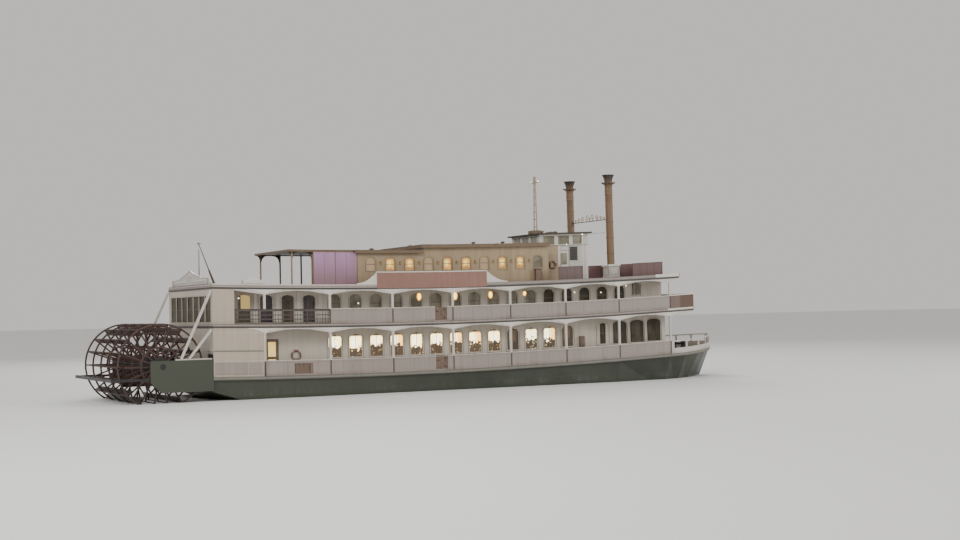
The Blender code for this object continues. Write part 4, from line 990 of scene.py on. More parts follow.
def arch(width, foot, head, rise, steps=8):
    """An outline with a half-ellipse for a head, centred on zero."""
    half = width / 2
    outline = [(-half, foot), (half, foot)]
    for step in range(steps + 1):
        turn = math.pi * step / steps
        outline.append((half * math.cos(turn), head - rise + rise * math.sin(turn)))
    return outline


def window(size, place, kind, bars=(1, 1), sill=True, proud=0.0, trim=frames):
    """Frame, sill, sash and pane for one opening; place puts the wall's face at y = 0."""
    width, foot, head, rise = size
    place = place @ move(y=-proud)
    outer = arch(width + 2 * FRAME_WIDE, foot - FRAME_WIDE, head + FRAME_WIDE, rise + FRAME_WIDE)
    put(trim, hoop(outer, FRAME_WIDE + 0.006, 0.03), place @ move(y=-0.014))
    if sill:
        block(trim, spread(0, width / 2 + 0.06), (-0.035, 0.01), (foot - 0.05, foot - 0.02), 0.005, place)
    put(sashes, hoop(arch(width, foot, head, rise), 0.026, 0.02), place @ move(y=0.012))
    for number in range(bars[0]):
        level = foot + (head - foot) * (number + 1) / (bars[0] + 1)
        block(sashes, spread(0, width / 2), (0.012, 0.032), spread(level, 0.012), 0, place)
    for number in range(bars[1]):
        across = -width / 2 + width * (number + 1) / (bars[1] + 1)
        block(sashes, spread(across, 0.009), (0.014, 0.03), (foot, head - rise * 0.1), 0, place)
    put(panes[kind], slab(arch(width + 0.01, foot - 0.005, head + 0.005, rise), 0.006),
        place @ move(y=0.026))


# %% Panes of the main saloon
MAIN_KINDS = ["lit"] * 9 + ["low", "half", "half", "low", "boarded", "narrow", "wide", "wide", "wide"]
for number, kind in enumerate(MAIN_KINDS):
    place = side_place(1 + (2 * number + 1) / 6, SIDE_WALL, MAIN_DECK)
    if kind == "boarded":
        put(boarding, slab(arch(0.55, 0.53, 1.42, 0.16), 0.02, 0.003), place @ move(y=-0.012))
    elif kind == "narrow":
        window(MAIN_WINDOW, place, "dark", (1, 0))
        for side in (-1, 1):
            block(boarding, spread(side * 0.19, 0.06), (-0.004, 0.02), (0.56, 1.36), 0, place)
    elif kind == "wide":
        window(WIDE_WINDOW, place, "dark", (0, 0), True, 0.036)
    else:
        window(MAIN_WINDOW, place, kind, (0, 1))

# %% Panes of the upper saloon
DIM_END = 4.8
UPPER_CENTRES = [bay + (2 * step + 1) / 6 for bay in range(1, 6) for step in range(3)] + [6.17]
for centre in UPPER_CENTRES:
    kind = "dim" if centre < DIM_END else "dark"
    window(UPPER_WINDOW, side_place(centre, SIDE_WALL, UPPER_DECK), kind, (1, 0))
for centre, kind, bars in ((-0.22, "drawn", 0), (0.11, "plum", 0), (0.44, "brown", 0), (0.77, "plum", 2)):
    window(TALL_WINDOW, side_place(centre, SIDE_WALL, UPPER_DECK), kind, (0, bars), False)
window(SMALL_WINDOW, side_place(6.5, SIDE_WALL, UPPER_DECK), "dim", (0, 1), False, 0.036)
for pilaster in (-0.385, -0.055, 0.275, 0.605, 0.935):
    place = side_place(pilaster, SIDE_WALL, UPPER_DECK)
    block(frames, spread(0, 0.06), (-0.022, 0.005), (0.04, 1.08), 0.004, place)
    block(frames, spread(0, 0.075), (-0.03, 0.005), (1.06, 1.11), 0.004, place)

# %% Panes of the top house and the fronts
TOP_FIRST = 1.826
TOP_PITCH = 0.323
TOP_KINDS = ("blind", "lamp", "lamp", "blind", "lamp", "lamp", "blind", "lamp", "lamp", "dim")
for number, kind in enumerate(TOP_KINDS):
    window(TOP_WINDOW, side_place(TOP_FIRST + TOP_PITCH * number, TOP_WALL, TOP_DECK), kind, (1, 0),
           False, trim=buff_frames)
for x, deck, kind in ((at(7.06), MAIN_DECK, "low"), (at(7.0), UPPER_DECK, "dim")):
    for share in (0.45, 0.78):
        window(FRONT_WINDOW, move(x, -SIDE_WALL * share, deck + sheer(x - 0.05)) @ spun(90), kind)

# %% [markdown]
# Light behind glass.
# The saloon is lit, and through its panes one sees pale walls, a lamp, here and there an amber
# strip, and brown shapes low down. Modelling the whole room is wasteful where the glass shows it
# so small, so the pane itself glows with that picture: the height in the pane sets the mood from
# brown to bright, a random number for each window shifts the lamp and the curtains, and a coat
# over it gives the gloss of glass. Panes with no lamp behind them are dim shapes under gloss.


# %% Glowing panes
def room_behind(name, pitch, start, pane, colours, strength, half=0.30, floor=0.3, open_wide=0.6):
    """Glass with a lit room behind it.

    Windows are a pitch apart from start, pane is (foot, head), colours are (shapes in the room, wall,
    lamp), half is half a pane's share of the pitch, floor is how far up the shapes reach and
    open_wide is the least share of the pane that isn't curtained.
    """
    finish = Finish(name)
    shapes, wall, lamp = colours
    across = finish.x - start + pitch / 2
    number = finish.step(across, pitch)
    other = finish.step(across + 40.0, pitch)
    cell = finish.maths("FRACT", across / pitch) - 0.5
    up = (finish.level - pane[0]) / (pane[1] - pane[0])
    clutter = finish.noise(9.0, 3.0)
    sideways = cell - (number - 0.5) * 0.25 * half
    aside = finish.maths("ABSOLUTE", sideways) + (clutter - 0.5) * 0.12
    curtain = half * open_wide
    curtained = finish.ease(aside - other * (1 - open_wide) * half, curtain, curtain + 0.03)
    height = up + (clutter - 0.5) * 0.8
    above = finish.ease(height - number * floor * 0.5, floor, floor + 0.07)
    below = 1 - finish.ease(up, 0.86, 0.92)
    far = (sideways * sideways * 14.0 + (up - 0.55) * (up - 0.55) * 3.0) ** 0.5
    room = finish.blend(finish.ease(far, 0.15, 0.75), lamp, wall)
    amber = finish.ease(other, 0.45, 0.5) * finish.ease(cell, 0.03, 0.10)
    room = finish.blend(amber * 0.85, room, (0.80, 0.40, 0.05))
    glints = finish.ease(finish.noise(16.0, 1.0), 0.66, 0.74)
    lower = finish.blend(glints * 0.35, shapes, wall)
    glow = finish.blend(above * below * (1 - curtained), lower, room)
    dark = finish.blend(clutter, (0.03, 0.022, 0.014), (0.07, 0.05, 0.035))
    return finish.done(dark, 0.15 + clutter * 0.08, clutter, 0.05, 0.001, Emission_Color=glow,
                       Emission_Strength=strength, Coat_Weight=0.25, Coat_Roughness=0.08)


def glass(name, dark, light, rough=0.22, coat=0.15, gleam=0.3):
    """Panes with no lamp behind them."""
    finish = Finish(name)
    clouds = finish.noise(2.5, 3.0)
    ripple = finish.noise(5.0, 1.0)
    up = finish.noise(1.2, 2.0, (3.0, 3.0, 0.6))
    colour = finish.blend(finish.ease(clouds * 0.6 + up * 0.5, 0.4, 0.7), dark, light)
    return finish.done(colour, rough + clouds * 0.12, ripple, 0.06, 0.003, Coat_Weight=coat,
                       Coat_Roughness=0.06, Specular_IOR_Level=gleam)


def drawn_blind():
    """A yellow blind pulled half down in a lit cabin, dark under it."""
    finish = Finish("drawn_blind_glass")
    weave = finish.noise(60.0, 2.0)
    down = finish.ease(finish.level - UPPER_DECK, 0.50, 0.53)
    beside = finish.ease(finish.x - at(-0.22), -0.13, -0.10)
    cloth = finish.blend(weave, (0.62, 0.42, 0.12), (0.80, 0.60, 0.22))
    glow = finish.blend(down * beside, (0.02, 0.014, 0.008), cloth)
    dark = finish.blend(weave, (0.04, 0.03, 0.02), (0.06, 0.045, 0.03))
    return finish.done(dark, 0.2 + weave * 0.1, weave, 0.1, 0.001, Emission_Color=glow,
                       Emission_Strength=0.75, Coat_Weight=0.3)


# %% Panes
SALOON = (BAY / 3, at(1 + 1 / 6), (MAIN_DECK + MAIN_WINDOW[1], MAIN_DECK + MAIN_WINDOW[2]))
TOP_PANE = (TOP_DECK + TOP_WINDOW[1], TOP_DECK + TOP_WINDOW[2])
TOP_ROOM = (TOP_PITCH * BAY, at(TOP_FIRST))
DIM = glass("dim_glass", (0.15, 0.135, 0.096), (0.31, 0.275, 0.20))
DARK = glass("dark_glass", (0.040, 0.034, 0.022), (0.095, 0.078, 0.052), 0.4, 0.0, 0.2)
PANE_FINISHES = {
    "lit": room_behind("lit_saloon_glass", *SALOON,
                       ((0.020, 0.012, 0.006), (1.0, 0.74, 0.30), (1.0, 0.93, 0.70)), 4.6, floor=0.32,
                       open_wide=0.95),
    "half": room_behind("half_lit_saloon_glass", *SALOON,
                        ((0.014, 0.010, 0.006), (0.95, 0.80, 0.42), (1.0, 0.96, 0.76)), 4.2, open_wide=0.9),
    "low": room_behind("low_saloon_glass", *SALOON,
                       ((0.06, 0.034, 0.02), (0.15, 0.085, 0.045), (0.24, 0.15, 0.08)), 0.5),
    "dark": DARK,
    "dim": DIM,
    "blind": room_behind("blind_glass", *TOP_ROOM, (TOP_PANE[0] - 0.6, TOP_PANE[1] + 0.4),
                         ((0.42, 0.30, 0.17), (0.46, 0.32, 0.18), (0.50, 0.35, 0.20)), 0.85, 0.216, 0.05,
                         1.0),
    "lamp": room_behind("lit_top_glass", *TOP_ROOM, TOP_PANE,
                        ((0.34, 0.17, 0.05), (0.58, 0.27, 0.05), (1.0, 0.76, 0.22)), 1.6, 0.216, 0.10),
    "drawn": drawn_blind(),
    "plum": glass("plum_glass", (0.040, 0.028, 0.034), (0.085, 0.062, 0.068)),
    "brown": glass("brown_glass", (0.055, 0.038, 0.026), (0.12, 0.085, 0.06)),
}
for kind, bm in panes.items():
    pair("panes_" + kind, bm, PANE_FINISHES[kind])
pair("window_frames", frames, CREAM, "cream_paint")
pair("top_window_frames", buff_frames, BUFF, "buff_paint")
pair("window_sashes", sashes, SASH, "varnished_wood")
pair("boarded_window", boarding, WALLS, "cream_paint")

# %% [markdown]
# The stern.
# Seven dark panes fill the back of the upper gallery between white mullions, with a wall of
# plain boards under them and a stepped pediment on the deck above. A raised moulding picks out
# the pediment's outline.

# %% Stern glazing
STERN_X = at(STERN) + 0.005
STERN_PANES = 7
STERN_SIDE = OUTER - 0.25
GALLERY = (0.07, 0.95)
pitch = 2 * STERN_SIDE / STERN_PANES
half = (pitch - 0.09) / 2
inner = oblong((-half, half), GALLERY)
outer = oblong(spread(0, half + 0.025), (GALLERY[0] - 0.025, GALLERY[1] + 0.025))
stern_frames, stern_sashes, stern_panes = meshes(3)
for pane in range(STERN_PANES):
    middle = STERN_SIDE - pitch * (pane + 0.5)
    place = move(STERN_X, middle, UPPER_DECK + sheer(STERN_X + 0.02)) @ spun(-90)
    put(stern_frames, hoop(outer, 0.03, 0.02), place @ move(y=-0.004))
    put(stern_sashes, hoop(inner, 0.02, 0.02), place @ move(y=0.014))
    block(stern_sashes, (-half, half), (0.014, 0.03), (0.5, 0.516), 0, place)
    put(stern_panes, slab(inner, 0.006), place @ move(y=0.028))
piece("stern_frames", stern_frames, WHITE_TRIM_AND_HIGHLIGHT)
piece("stern_sashes", stern_sashes, SASH)
piece("stern_panes", stern_panes, DARK)

# %% Pediment moulding
PEDIMENT = ((1.0, 0.0), (1.0, 0.38), (0.61, 0.46), (0.2, 0.77), (0.0, 1.0))
PEDIMENT_SIZE = (2.2, 0.52)
LEAF = [(-0.028, 0.0), (0.028, 0.0), (0.036, 0.07), (0.018, 0.12), (0.0, 0.145), (-0.018, 0.12),
        (-0.036, 0.07)]
SPUR = [(0.5, 0.10), (1.75, 0.10), (1.75, 0.15), (0.5, 0.2)]
half = [(share * PEDIMENT_SIZE[0], rise * PEDIMENT_SIZE[1]) for share, rise in PEDIMENT]
outline = half + [(-across, up) for across, up in reversed(half[:-1])]
place = move(at(STERN) + 0.01, 0, TOP_DECK + sheer(at(STERN) + 0.03)) @ spun(-90) @ move(y=-0.016)
trim = bmesh.new()
put(trim, hoop([(across * 0.995, up * 0.99 + 0.003) for across, up in outline], 0.04, 0.03), place)
for turn in range(-2, 3):
    put(trim, slab(LEAF, 0.03, 0.004), place @ move(z=0.26) @ spun(36 * turn, "Y") @ move(z=0.03))
for side in (-1, 1):
    put(trim, slab(SPUR, 0.02, 0.004), place @ flipped(side))
piece("pediment_moulding", trim, WHITE_TRIM_AND_HIGHLIGHT)

# %% [markdown]
# The name boards.
# A long dark red board stands on the edge of the top deck on each side and comes down over it.
# It has a white rim on top and a white swoop at both ends, and is left plain.

# %% Board rims
BOARD = (1.75, 3.59)
SWEEP_AFT = 0.32
SWEEP_FRONT = 0.37
BOARD_TOP = 0.43


def swoop(start, end, steps=6):
    """A curve from the foot at start up to the top of the board at end, as a filled outline."""
    outline = [(at(start), 0.0)]
    for step in range(steps + 1):
        share = step / steps
        outline.append((at(start + (end - start) * share), 0.03 + (BOARD_TOP - 0.03) * share ** 2))
    return [*outline, (at(end), 0.0)]


board_rims, board_faces = meshes(2)
for start, end in ((BOARD[0] - SWEEP_AFT, BOARD[0]), (BOARD[1] + SWEEP_FRONT, BOARD[1])):
    put(board_rims, slab(swoop(start, end), 0.062), move(y=-OUTER - 0.006, z=TOP_DECK))
low, high = at(BOARD[0]), at(BOARD[1])
rim = TOP_DECK + BOARD_TOP
board(board_rims, (low - 0.02, high + 0.02), 0.026, 0.056, (rim - 0.025, rim + 0.012), 0.004)
board(board_faces, (low, high), 0.022, 0.01, (TOP_LINE + 0.012, rim - 0.025))
bent_pair("name_board_rims", board_rims, WHITE_TRIM_AND_HIGHLIGHT, "cream_paint")
bent_pair("name_board_faces", board_faces, BOARD_RED, "red_paint")

# %% [markdown]
# Brackets and deck beams.
# At the head of each colonnade post a flat white bracket spreads to both sides, deepest at the
# post and thin at its ends. It is a sawn board, so it is an outline given some thickness. Under
# each deck the beams that carry it show at the ceiling of the promenade.

# %% Brackets
BRACKET_REACH = 0.62
BRACKET_DEPTH = 0.165
BRACKET_TIP = 0.035
BRACKET_POST = 0.045
BRACKET_STEPS = 5
half = []
for step in range(BRACKET_STEPS + 1):
    share = step / BRACKET_STEPS
    across = BRACKET_REACH * (1 - share) + BRACKET_POST * share
    half.append((across, -BRACKET_TIP - (BRACKET_DEPTH - BRACKET_TIP) * share ** 2.2))
outline = [*half, *[(-across, up) for across, up in reversed(half)], (-BRACKET_REACH, -0.012),
           (BRACKET_REACH, -0.012)]
brackets, beams = meshes(2)
for line, posts in ((UPPER_LINE, 8), (TOP_LINE, 7)):
    for post in range(posts):
        put(brackets, slab(outline, 0.012, 0.002), move(at(post), -OUTER - 0.008, line))
        block(brackets, spread(0, 0.055), (-0.012, 0.085), (-0.20, -0.175), 0.004,
              move(at(post), -OUTER, line))
    for third in range(1, 21):
        block(beams, spread(at(third / 3), 0.018), (-OUTER + 0.06, -SIDE_WALL),
              (line - 0.055, line + 0.002), 0)
# The brackets take the lighter white as a painted highlight, brighter than the cream valance behind them.
pair("post_brackets", lift(brackets), WHITE_TRIM_AND_HIGHLIGHT, "cream_paint")
pair("deck_beams", lift(beams), CREAM, "cream_paint")

# %% [markdown]
# Open rails and the quarter.
# Aft on the upper deck the bulwark is an open rail, so thin upright bars are added to its frame; behind them
# the bulwark is painted near black as painted shade.
# The brown panel in the main bulwark is a gate that stays shut. At the stern the wall comes out
# to the side, and strips, a grey strip painted as a shadow line and raised panels carry the lines of the
# bulwark round it.

# %% Balusters
BALUSTER_PITCH = 0.1
RAIL_AFT = at(-0.45)
balusters = bmesh.new()
for number in range(int((at(RAIL_END) - RAIL_AFT) / BALUSTER_PITCH)):
    x = RAIL_AFT + BALUSTER_PITCH * (number + 0.5)
    board(balusters, spread(x, 0.006), -0.014, 0.026, (UPPER_DECK + 0.01, UPPER_DECK + 0.49), 0)
top = UPPER_DECK + BULWARK_TOP
board(balusters, (RAIL_AFT, at(RAIL_END)), 0.006, 0.035, (top, top + 0.016))
bent_pair("aft_balusters", balusters, IRON, "dark_steel")

# %% Shut gate
FIXED_GATE = (0.44, 0.72)
PLANKS = 6
planks = bmesh.new()
low, high = at(FIXED_GATE[0]), at(FIXED_GATE[1])
width = (high - low) / PLANKS
for plank in range(PLANKS):
    run = (low + width * plank + 0.003, low + width * (plank + 1) - 0.003)
    board(planks, run, 0.008, 0.01, (MAIN_DECK + 0.03, MAIN_DECK + 0.42), 0.002)
for level in (0.07, 0.36):
    board(planks, (low, high), 0.013, 0, (MAIN_DECK + level, MAIN_DECK + level + 0.04))
bent_pair("shut_gates", planks, WOOD, "varnished_wood")

# %% Quarter strips
QUARTER = (STERN + 0.01 / BAY, -0.06 / BAY)
PANEL_RUNS = ((-0.74, -0.5), (-0.49, -0.26), (-0.25, -0.035))
quarter = {
    "strips": (CREAM, ((*QUARTER, 0.014, 0.5, 0.53), (*QUARTER, 0.008, 1.45, 1.475))),
    # The grey strip is a painted shadow line across the quarter.
    "lines": (GUARD, ((*QUARTER, 0.012, 0.835, 0.875),)),
    "wall_panels": (WALLS, ((-0.72, -0.06, 0.005, 0.9, 1.42),)),
    "panels": (PANELS, [(*run, 0.006, 0.06, 0.47) for run in PANEL_RUNS]),
}
for name, (finish, rows) in quarter.items():
    bm = bmesh.new()
    for start, end, proud, low, high in rows:
        board(bm, (at(start), at(end)), proud, 0.01, (MAIN_DECK + low, MAIN_DECK + high))
    bent_pair("quarter_" + name, bm, finish, "cream_paint")

# %% [markdown]
# The stern wall and its braces.
# In the wall behind the wheel, over each wheel beam, there is an iron hatch with a pale rim, and
# ledges run across the wall above them. Two sloping boards on each side brace the deck edges
# from the wheel beam.

# %% Stern wall fittings
WALL_FACE = move(at(STERN) + 0.0055) @ spun(-90)
hatches, hatch_rims = meshes(2)
place = WALL_FACE @ flipped(-1)
for start, end in ((-2.62, -2.12), (2.12, 2.62)):
    put(hatches, slab(oblong((start, end), (0.90, 1.56)), 0.02, 0.002), place @ move(y=-0.006))
    put(hatch_rims, hoop(oblong((start - 0.03, end + 0.03), (0.87, 1.59)), 0.035, 0.03),
        place @ move(y=-0.013))
    block(hatch_rims, (start - 0.06, end + 0.06), (-0.014, 0.01), (1.66, 1.70), 0.003, place)
for level in (2.2, 1.9):
    block(hatch_rims, spread(0, 2.68), (-0.006, 0.01), (level, level + 0.02), 0.002, WALL_FACE)
piece("stern_hatches", hatches, IRON)
piece("stern_hatch_rims", hatch_rims, CREAM)

# %% Brace boards
low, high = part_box("stern_brace_starboard")
y = (low.y + high.y) / 2
planks = bmesh.new()
for bay, head in ((-1.215, TOP_LINE), (-1.1, UPPER_LINE)):
    path = [(at(bay), y, low.z + 0.05), (at(STERN) - 0.05, y, head + high.z - TOP_LINE - 0.03)]
    put(planks, moulding(path, oblong(spread(0, 0.022), spread(0, 0.042)), (0, 0, 1)))
pair("brace_boards", planks, CREAM, "cream_paint")

# %% [markdown]
# Lamps and lifebuoys.
# Oval lamps with a warm glass hang on the saloon walls, each on a back plate that glows amber with
# painted light of the lamp thrown back from it, and small bare bulbs mark the deck edges. A lamp's
# glass glows with its own light, palest at its middle. A lifebuoy is a ring of round section with
# four bands of tape; ring and bands are both a round profile pushed along a circle.


# %% Lamp glass
def lamp_glass(name, flame, rim, strength):
    """Glass lit from inside, flame at its middle and rim at its edges."""
    finish = Finish(name)
    ripple = finish.noise(50.0, 2.0)
    turned_away = finish.node("ShaderNodeLayerWeight", {}, 0.5, output=1)
    warm = finish.blend(finish.ease(turned_away + ripple * 0.2, 0.2, 0.75), flame, rim)
    return finish.done(warm, 0.2 + ripple * 0.1, ripple, 0.1, 0.001, Emission_Color=warm,
                       Emission_Strength=strength, Coat_Weight=0.4)


WARM_LAMP = lamp_glass("warm_lamp_glass", (1.0, 0.84, 0.26), (1.0, 0.46, 0.03), 3.4)
# The back plates are no lamps: their amber glow is painted light of the lamp thrown back from them.
PAINTED_GLOW_BACK_PLATE = lamp_glass("lamp_back_plate_painted_glow", (1.0, 0.50, 0.03), (0.85, 0.36, 0.02), 1.3)
WHITE_LAMP = lamp_glass("white_lamp_glass", (1.0, 0.96, 0.86), (0.95, 0.80, 0.55), 2.8)


def ellipse(wide, high, steps=14):
    return [(wide * math.cos(math.tau * step / steps), high * math.sin(math.tau * step / steps))
            for step in range(steps)]


def oval_lamp(place, wide, high):
    put(warm, globe(1, 12), place @ move(y=-0.028) @ Matrix.Diagonal((wide, 0.035, high, 1)))
    put(backs, slab(ellipse(wide * 1.5, high * 1.3), 0.02, 0.004), place @ move(y=-0.02))
    block(lamp_rims, spread(0, 0.012), (-0.075, 0.0), (high * 1.15, high * 1.15 + 0.02), 0.003, place)
    put(lamp_rims, turned([(0, 0.03), (0.02, 0.022), (0.055, 0.0), (0, 0.0)], 10),
        place @ move(y=-0.045, z=high * 1.1))


def bulb(place, glasses, rims, radius):
    """A small bulb on a short stem, its face towards -Y."""
    put(glasses, globe(radius), place @ move(y=-0.045))
    put(rims, rod((0, 0.0, 0), (0, -0.03, 0), radius * 0.7, 8, radius * 0.9), place)


# %% Wall lamps
warm, white, backs, lamp_rims = meshes(4)
for bay, wide, high in ((2.55, 0.062, 0.115), (3.16, 0.07, 0.125), (3.78, 0.062, 0.11),
                        (4.39, 0.05, 0.075)):
    oval_lamp(side_place(bay, SIDE_WALL, UPPER_DECK) @ move(z=0.90), wide, high)
for bay, level in ((1.54, 0.70), (5.30, 0.86), (5.80, 0.80), (6.29, 1.0), (-0.31, 0.88)):
    bulb(side_place(bay, SIDE_WALL + 0.012, UPPER_DECK) @ move(z=level), white, lamp_rims, 0.026)
for number in range(1, len(TOP_KINDS)):
    place = side_place(TOP_FIRST + TOP_PITCH * (number - 0.5), TOP_WALL, TOP_DECK)
    block(lamp_rims, spread(0, 0.025), (-0.045, 0.0), (-0.035, 0.045), 0.006, place @ move(z=0.76))
    put(lamp_rims, turned([(0, 0.03), (0.014, 0.025), (0.042, 0.0), (0, 0.0)], 10),
        place @ move(y=-0.03, z=0.81))
pair("lamp_glasses", warm, WARM_LAMP)
pair("lamp_back_plates_painted_glow", backs, PAINTED_GLOW_BACK_PLATE)
pair("bulb_glasses", white, WHITE_LAMP)
pair("lamp_rims", lamp_rims, BRASS, "dark_steel")

# %% Lifebuoys
TAPE = (34, 56)


def circle_path(radius, start, end, steps):
    """Points round a circle that stands in the XZ plane."""
    turns = [math.radians(start + (end - start) * step / steps) for step in range(steps + 1)]
    return [(radius * math.cos(turn), 0, radius * math.sin(turn)) for turn in turns]


def lifebuoy(place, reach, thick):
    place = place @ move(y=-thick)
    middle = reach - thick
    whole = circle_path(middle, 0, 360, 28)[:-1]
    put(rings, moulding(whole, ellipse(thick, thick * 0.85, 10), (0, 1, 0), True), place)
    for turn in range(4):
        path = circle_path(middle, 90 * turn + TAPE[0], 90 * turn + TAPE[1], 3)
        put(bands, moulding(path, ellipse(thick * 1.1, thick * 0.95, 10), (0, 1, 0)), place)


rings, bands = meshes(2)
lifebuoy(side_place(0.55, SIDE_WALL, MAIN_DECK) @ move(z=0.68), 0.1875, 0.033)
lifebuoy(side_place(5.17, 1.1, TOP_DECK) @ move(z=0.60), 0.16, 0.03)
pair("lifebuoy_rings", rings, BUOY)
pair("lifebuoy_bands", bands, PANELS)

# %% [markdown]
# The top house.
# Its roof has a deep brown fascia, and round vents stand on it. Aft of it a shelter has a thin
# canvas roof on posts with curved knees, and tinted plastic screens on its starboard side.


# %% Tinted screens
def tinted_screen():
    """Plum-tinted sheet, streaked by weather, and lighter towards the top as painted glare."""
    finish = Finish("tinted_screen")
    clouds = finish.noise(1.6, 3.0)
    drift = finish.noise(1.0, 3.0, (4.0, 4.0, 0.5))
    up = finish.ease(finish.level - TOP_DECK, 0.1, 1.1)
    # Lighter and more purple towards the top: painted glare on the sheet.
    shade = finish.blend(up, (0.30, 0.17, 0.21), (0.41, 0.235, 0.38))
    shade = finish.blend(finish.ease(drift, 0.4, 0.75) * 0.6, shade, (0.30, 0.19, 0.215))
    return finish.done(shade, 0.28 + clouds * 0.15, drift, 0.15, 0.004, Coat_Weight=0.3)


SCREENS = (at(0.9), at(1.6))
SCREEN_TOP = TOP_DECK + 1.16
SHEETS = 4
screens, screen_posts = meshes(2)
pitch = (SCREENS[1] - SCREENS[0]) / SHEETS
for panel in range(SHEETS):
    x = SCREENS[0] + pitch * panel
    run = (x + 0.004, x + pitch - 0.004)
    board(screens, run, 0.022, -0.012, (TOP_DECK + 0.03, SCREEN_TOP), wall=TOP_WALL)
for panel in (0, 2, 4):
    x = SCREENS[0] + pitch * panel
    levels = (TOP_DECK + 0.002, SCREEN_TOP + 0.02)
    board(screen_posts, spread(x, 0.012), 0.026, -0.004, levels, wall=TOP_WALL)
for level in (TOP_DECK + 0.01, SCREEN_TOP):
    board(screen_posts, SCREENS, 0.025, -0.005, (level, level + 0.02), wall=TOP_WALL)
piece("tinted_screens", lift_with_decks(screens), tinted_screen())
piece("screen_posts", lift_with_decks(screen_posts), FASCIA)

# %% Fascias
SHELTER_AFT = at(0.5)
HOUSE_AFT = at(1.6) - 0.12
HOUSE_STEP = 2.69
HOUSE_FRONT = at(4.93)
EAVES_OUT = TOP_WALL + 0.12
HIGH_ROOF = TOP_LINE + 1.6
STEP_EDGE = at(HOUSE_STEP) - 0.06
fascias = bmesh.new()
for aft, front, top, reach, deep in ((HOUSE_AFT, at(HOUSE_STEP), LOW_ROOF, EAVES_OUT, 0.11),
                                     (STEP_EDGE, HOUSE_FRONT, HIGH_ROOF, EAVES_OUT, 0.12),
                                     (SHELTER_AFT, HOUSE_AFT, LOW_ROOF, TOP_WALL, 0.07)):
    board(fascias, (aft, front), 0.008, 0.02, (top - deep, top + 0.006), wall=reach)
    board(fascias, (aft, front), 0.014, 0.02, (top - 0.02, top + 0.010), wall=reach)
both_sides(lift_with_decks(fascias))
for x, top, reach, deep in ((SHELTER_AFT, LOW_ROOF, TOP_WALL, 0.07),
                            (STEP_EDGE, HIGH_ROOF, EAVES_OUT, 0.12)):
    block(fascias, (x - 0.008, x + 0.02), spread(0, reach), (top - deep, top + 0.006),
          place=move(z=sheer(x)))
piece("roof_fascias", fascias, FASCIA)

# %% Roof vents
MUSHROOM = [(0, 0), (0.05, 0), (0.05, 0.07), (0.095, 0.075), (0.10, 0.095), (0.06, 0.125), (0, 0.135)]
vents = bmesh.new()
for bay, y in ((3.72, -1.1), (4.25, -1.1), (3.0, 0.9), (3.72, 0.9), (2.0, -0.9), (1.4, 0.8), (4.5, 0.5)):
    top = LOW_ROOF if bay < HOUSE_STEP else HIGH_ROOF
    put(vents, turned(MUSHROOM, 16), move(at(bay), y, top + sheer(at(bay)) - 0.002))
piece("roof_vents", vents, FASCIA)

# %% Canopy knees
KNEE = [(0.0, -0.04), (0.30, -0.04), (0.30, -0.07), (0.16, -0.10), (0.07, -0.18), (0.03, -0.32),
        (0.0, -0.32)]
low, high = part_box("aft_canopy")
knees = bmesh.new()
for share, ways in ((0.076, (-0.55, 1)), (0.381, (-1,))):
    x = low.x + (high.x - low.x) * share
    for way in ways:
        put(knees, slab(KNEE, 0.03, 0.003), move(x, -TOP_WALL + 0.085, LOW_ROOF + sheer(x)) @ flipped(way))
pair("canopy_knees", knees, ROOF, "roof_paint")

# %% Deck boxes and lockers
lockers, low_boxes = meshes(2)
block(low_boxes, (at(-0.30), at(0.02)), (-2.62, -2.42), (TOP_DECK + 0.002, TOP_DECK + 0.15), 0.012)
block(low_boxes, (at(-0.22), at(-0.06)), (-2.60, -2.44), (TOP_DECK + 0.14, TOP_DECK + 0.20), 0.012)
bent_pair("deck_edge_boxes", low_boxes, WHITE_TRIM_AND_HIGHLIGHT, "cream_paint")
x = at(4.66)
board(lockers, (x, x + 0.24), 0.17, -0.002, (TOP_DECK + 0.002, TOP_DECK + 0.44), 0.008, TOP_WALL)
board(lockers, (x - 0.012, x + 0.252), 0.185, -0.002, (TOP_DECK + 0.44, TOP_DECK + 0.46), 0.004, TOP_WALL)
board(lockers, (at(5.38), at(5.46)), 0.13, -0.002, (MAIN_DECK + 0.002, MAIN_DECK + 0.93), 0.006, SIDE_WALL)
bent_pair("deck_lockers", lockers, WOOD, "varnished_wood")

# %% [markdown]
# The pilot house.
# The pilot looks out through a band of glass all round, over a narrow ledge. The side is boarded
# white from the door forward, with a dark louvred window in it and two more in the front, and
# maroon wind breaks stand on the deck beside it and forward of the stacks.

# %% Pilot house glass
PILOT_AFT = at(4.93)
PILOT_FRONT = at(5.85)
PILOT_HALF = 1.1
PILOT_ROOF = TOP_LINE + 2.0
PILOT_HEAD = PILOT_ROOF - 0.06 - 0.055
PILOT_SILL = PILOT_HEAD - 0.35
glass_band, ledge, corners = meshes(3)
levels = (PILOT_SILL - 0.01, PILOT_HEAD + 0.01)
for side in (-1, 1):
    y = spread(side * (PILOT_HALF - 0.03), 0.004)
    block(glass_band, (PILOT_AFT + 0.06, PILOT_FRONT - 0.06), y, levels, 0)
for x in (PILOT_AFT + 0.03, PILOT_FRONT - 0.03):
    block(glass_band, spread(x, 0.004), spread(0, PILOT_HALF - 0.06), levels, 0)
piece("pilot_glass", lift_with_decks(glass_band), DIM)

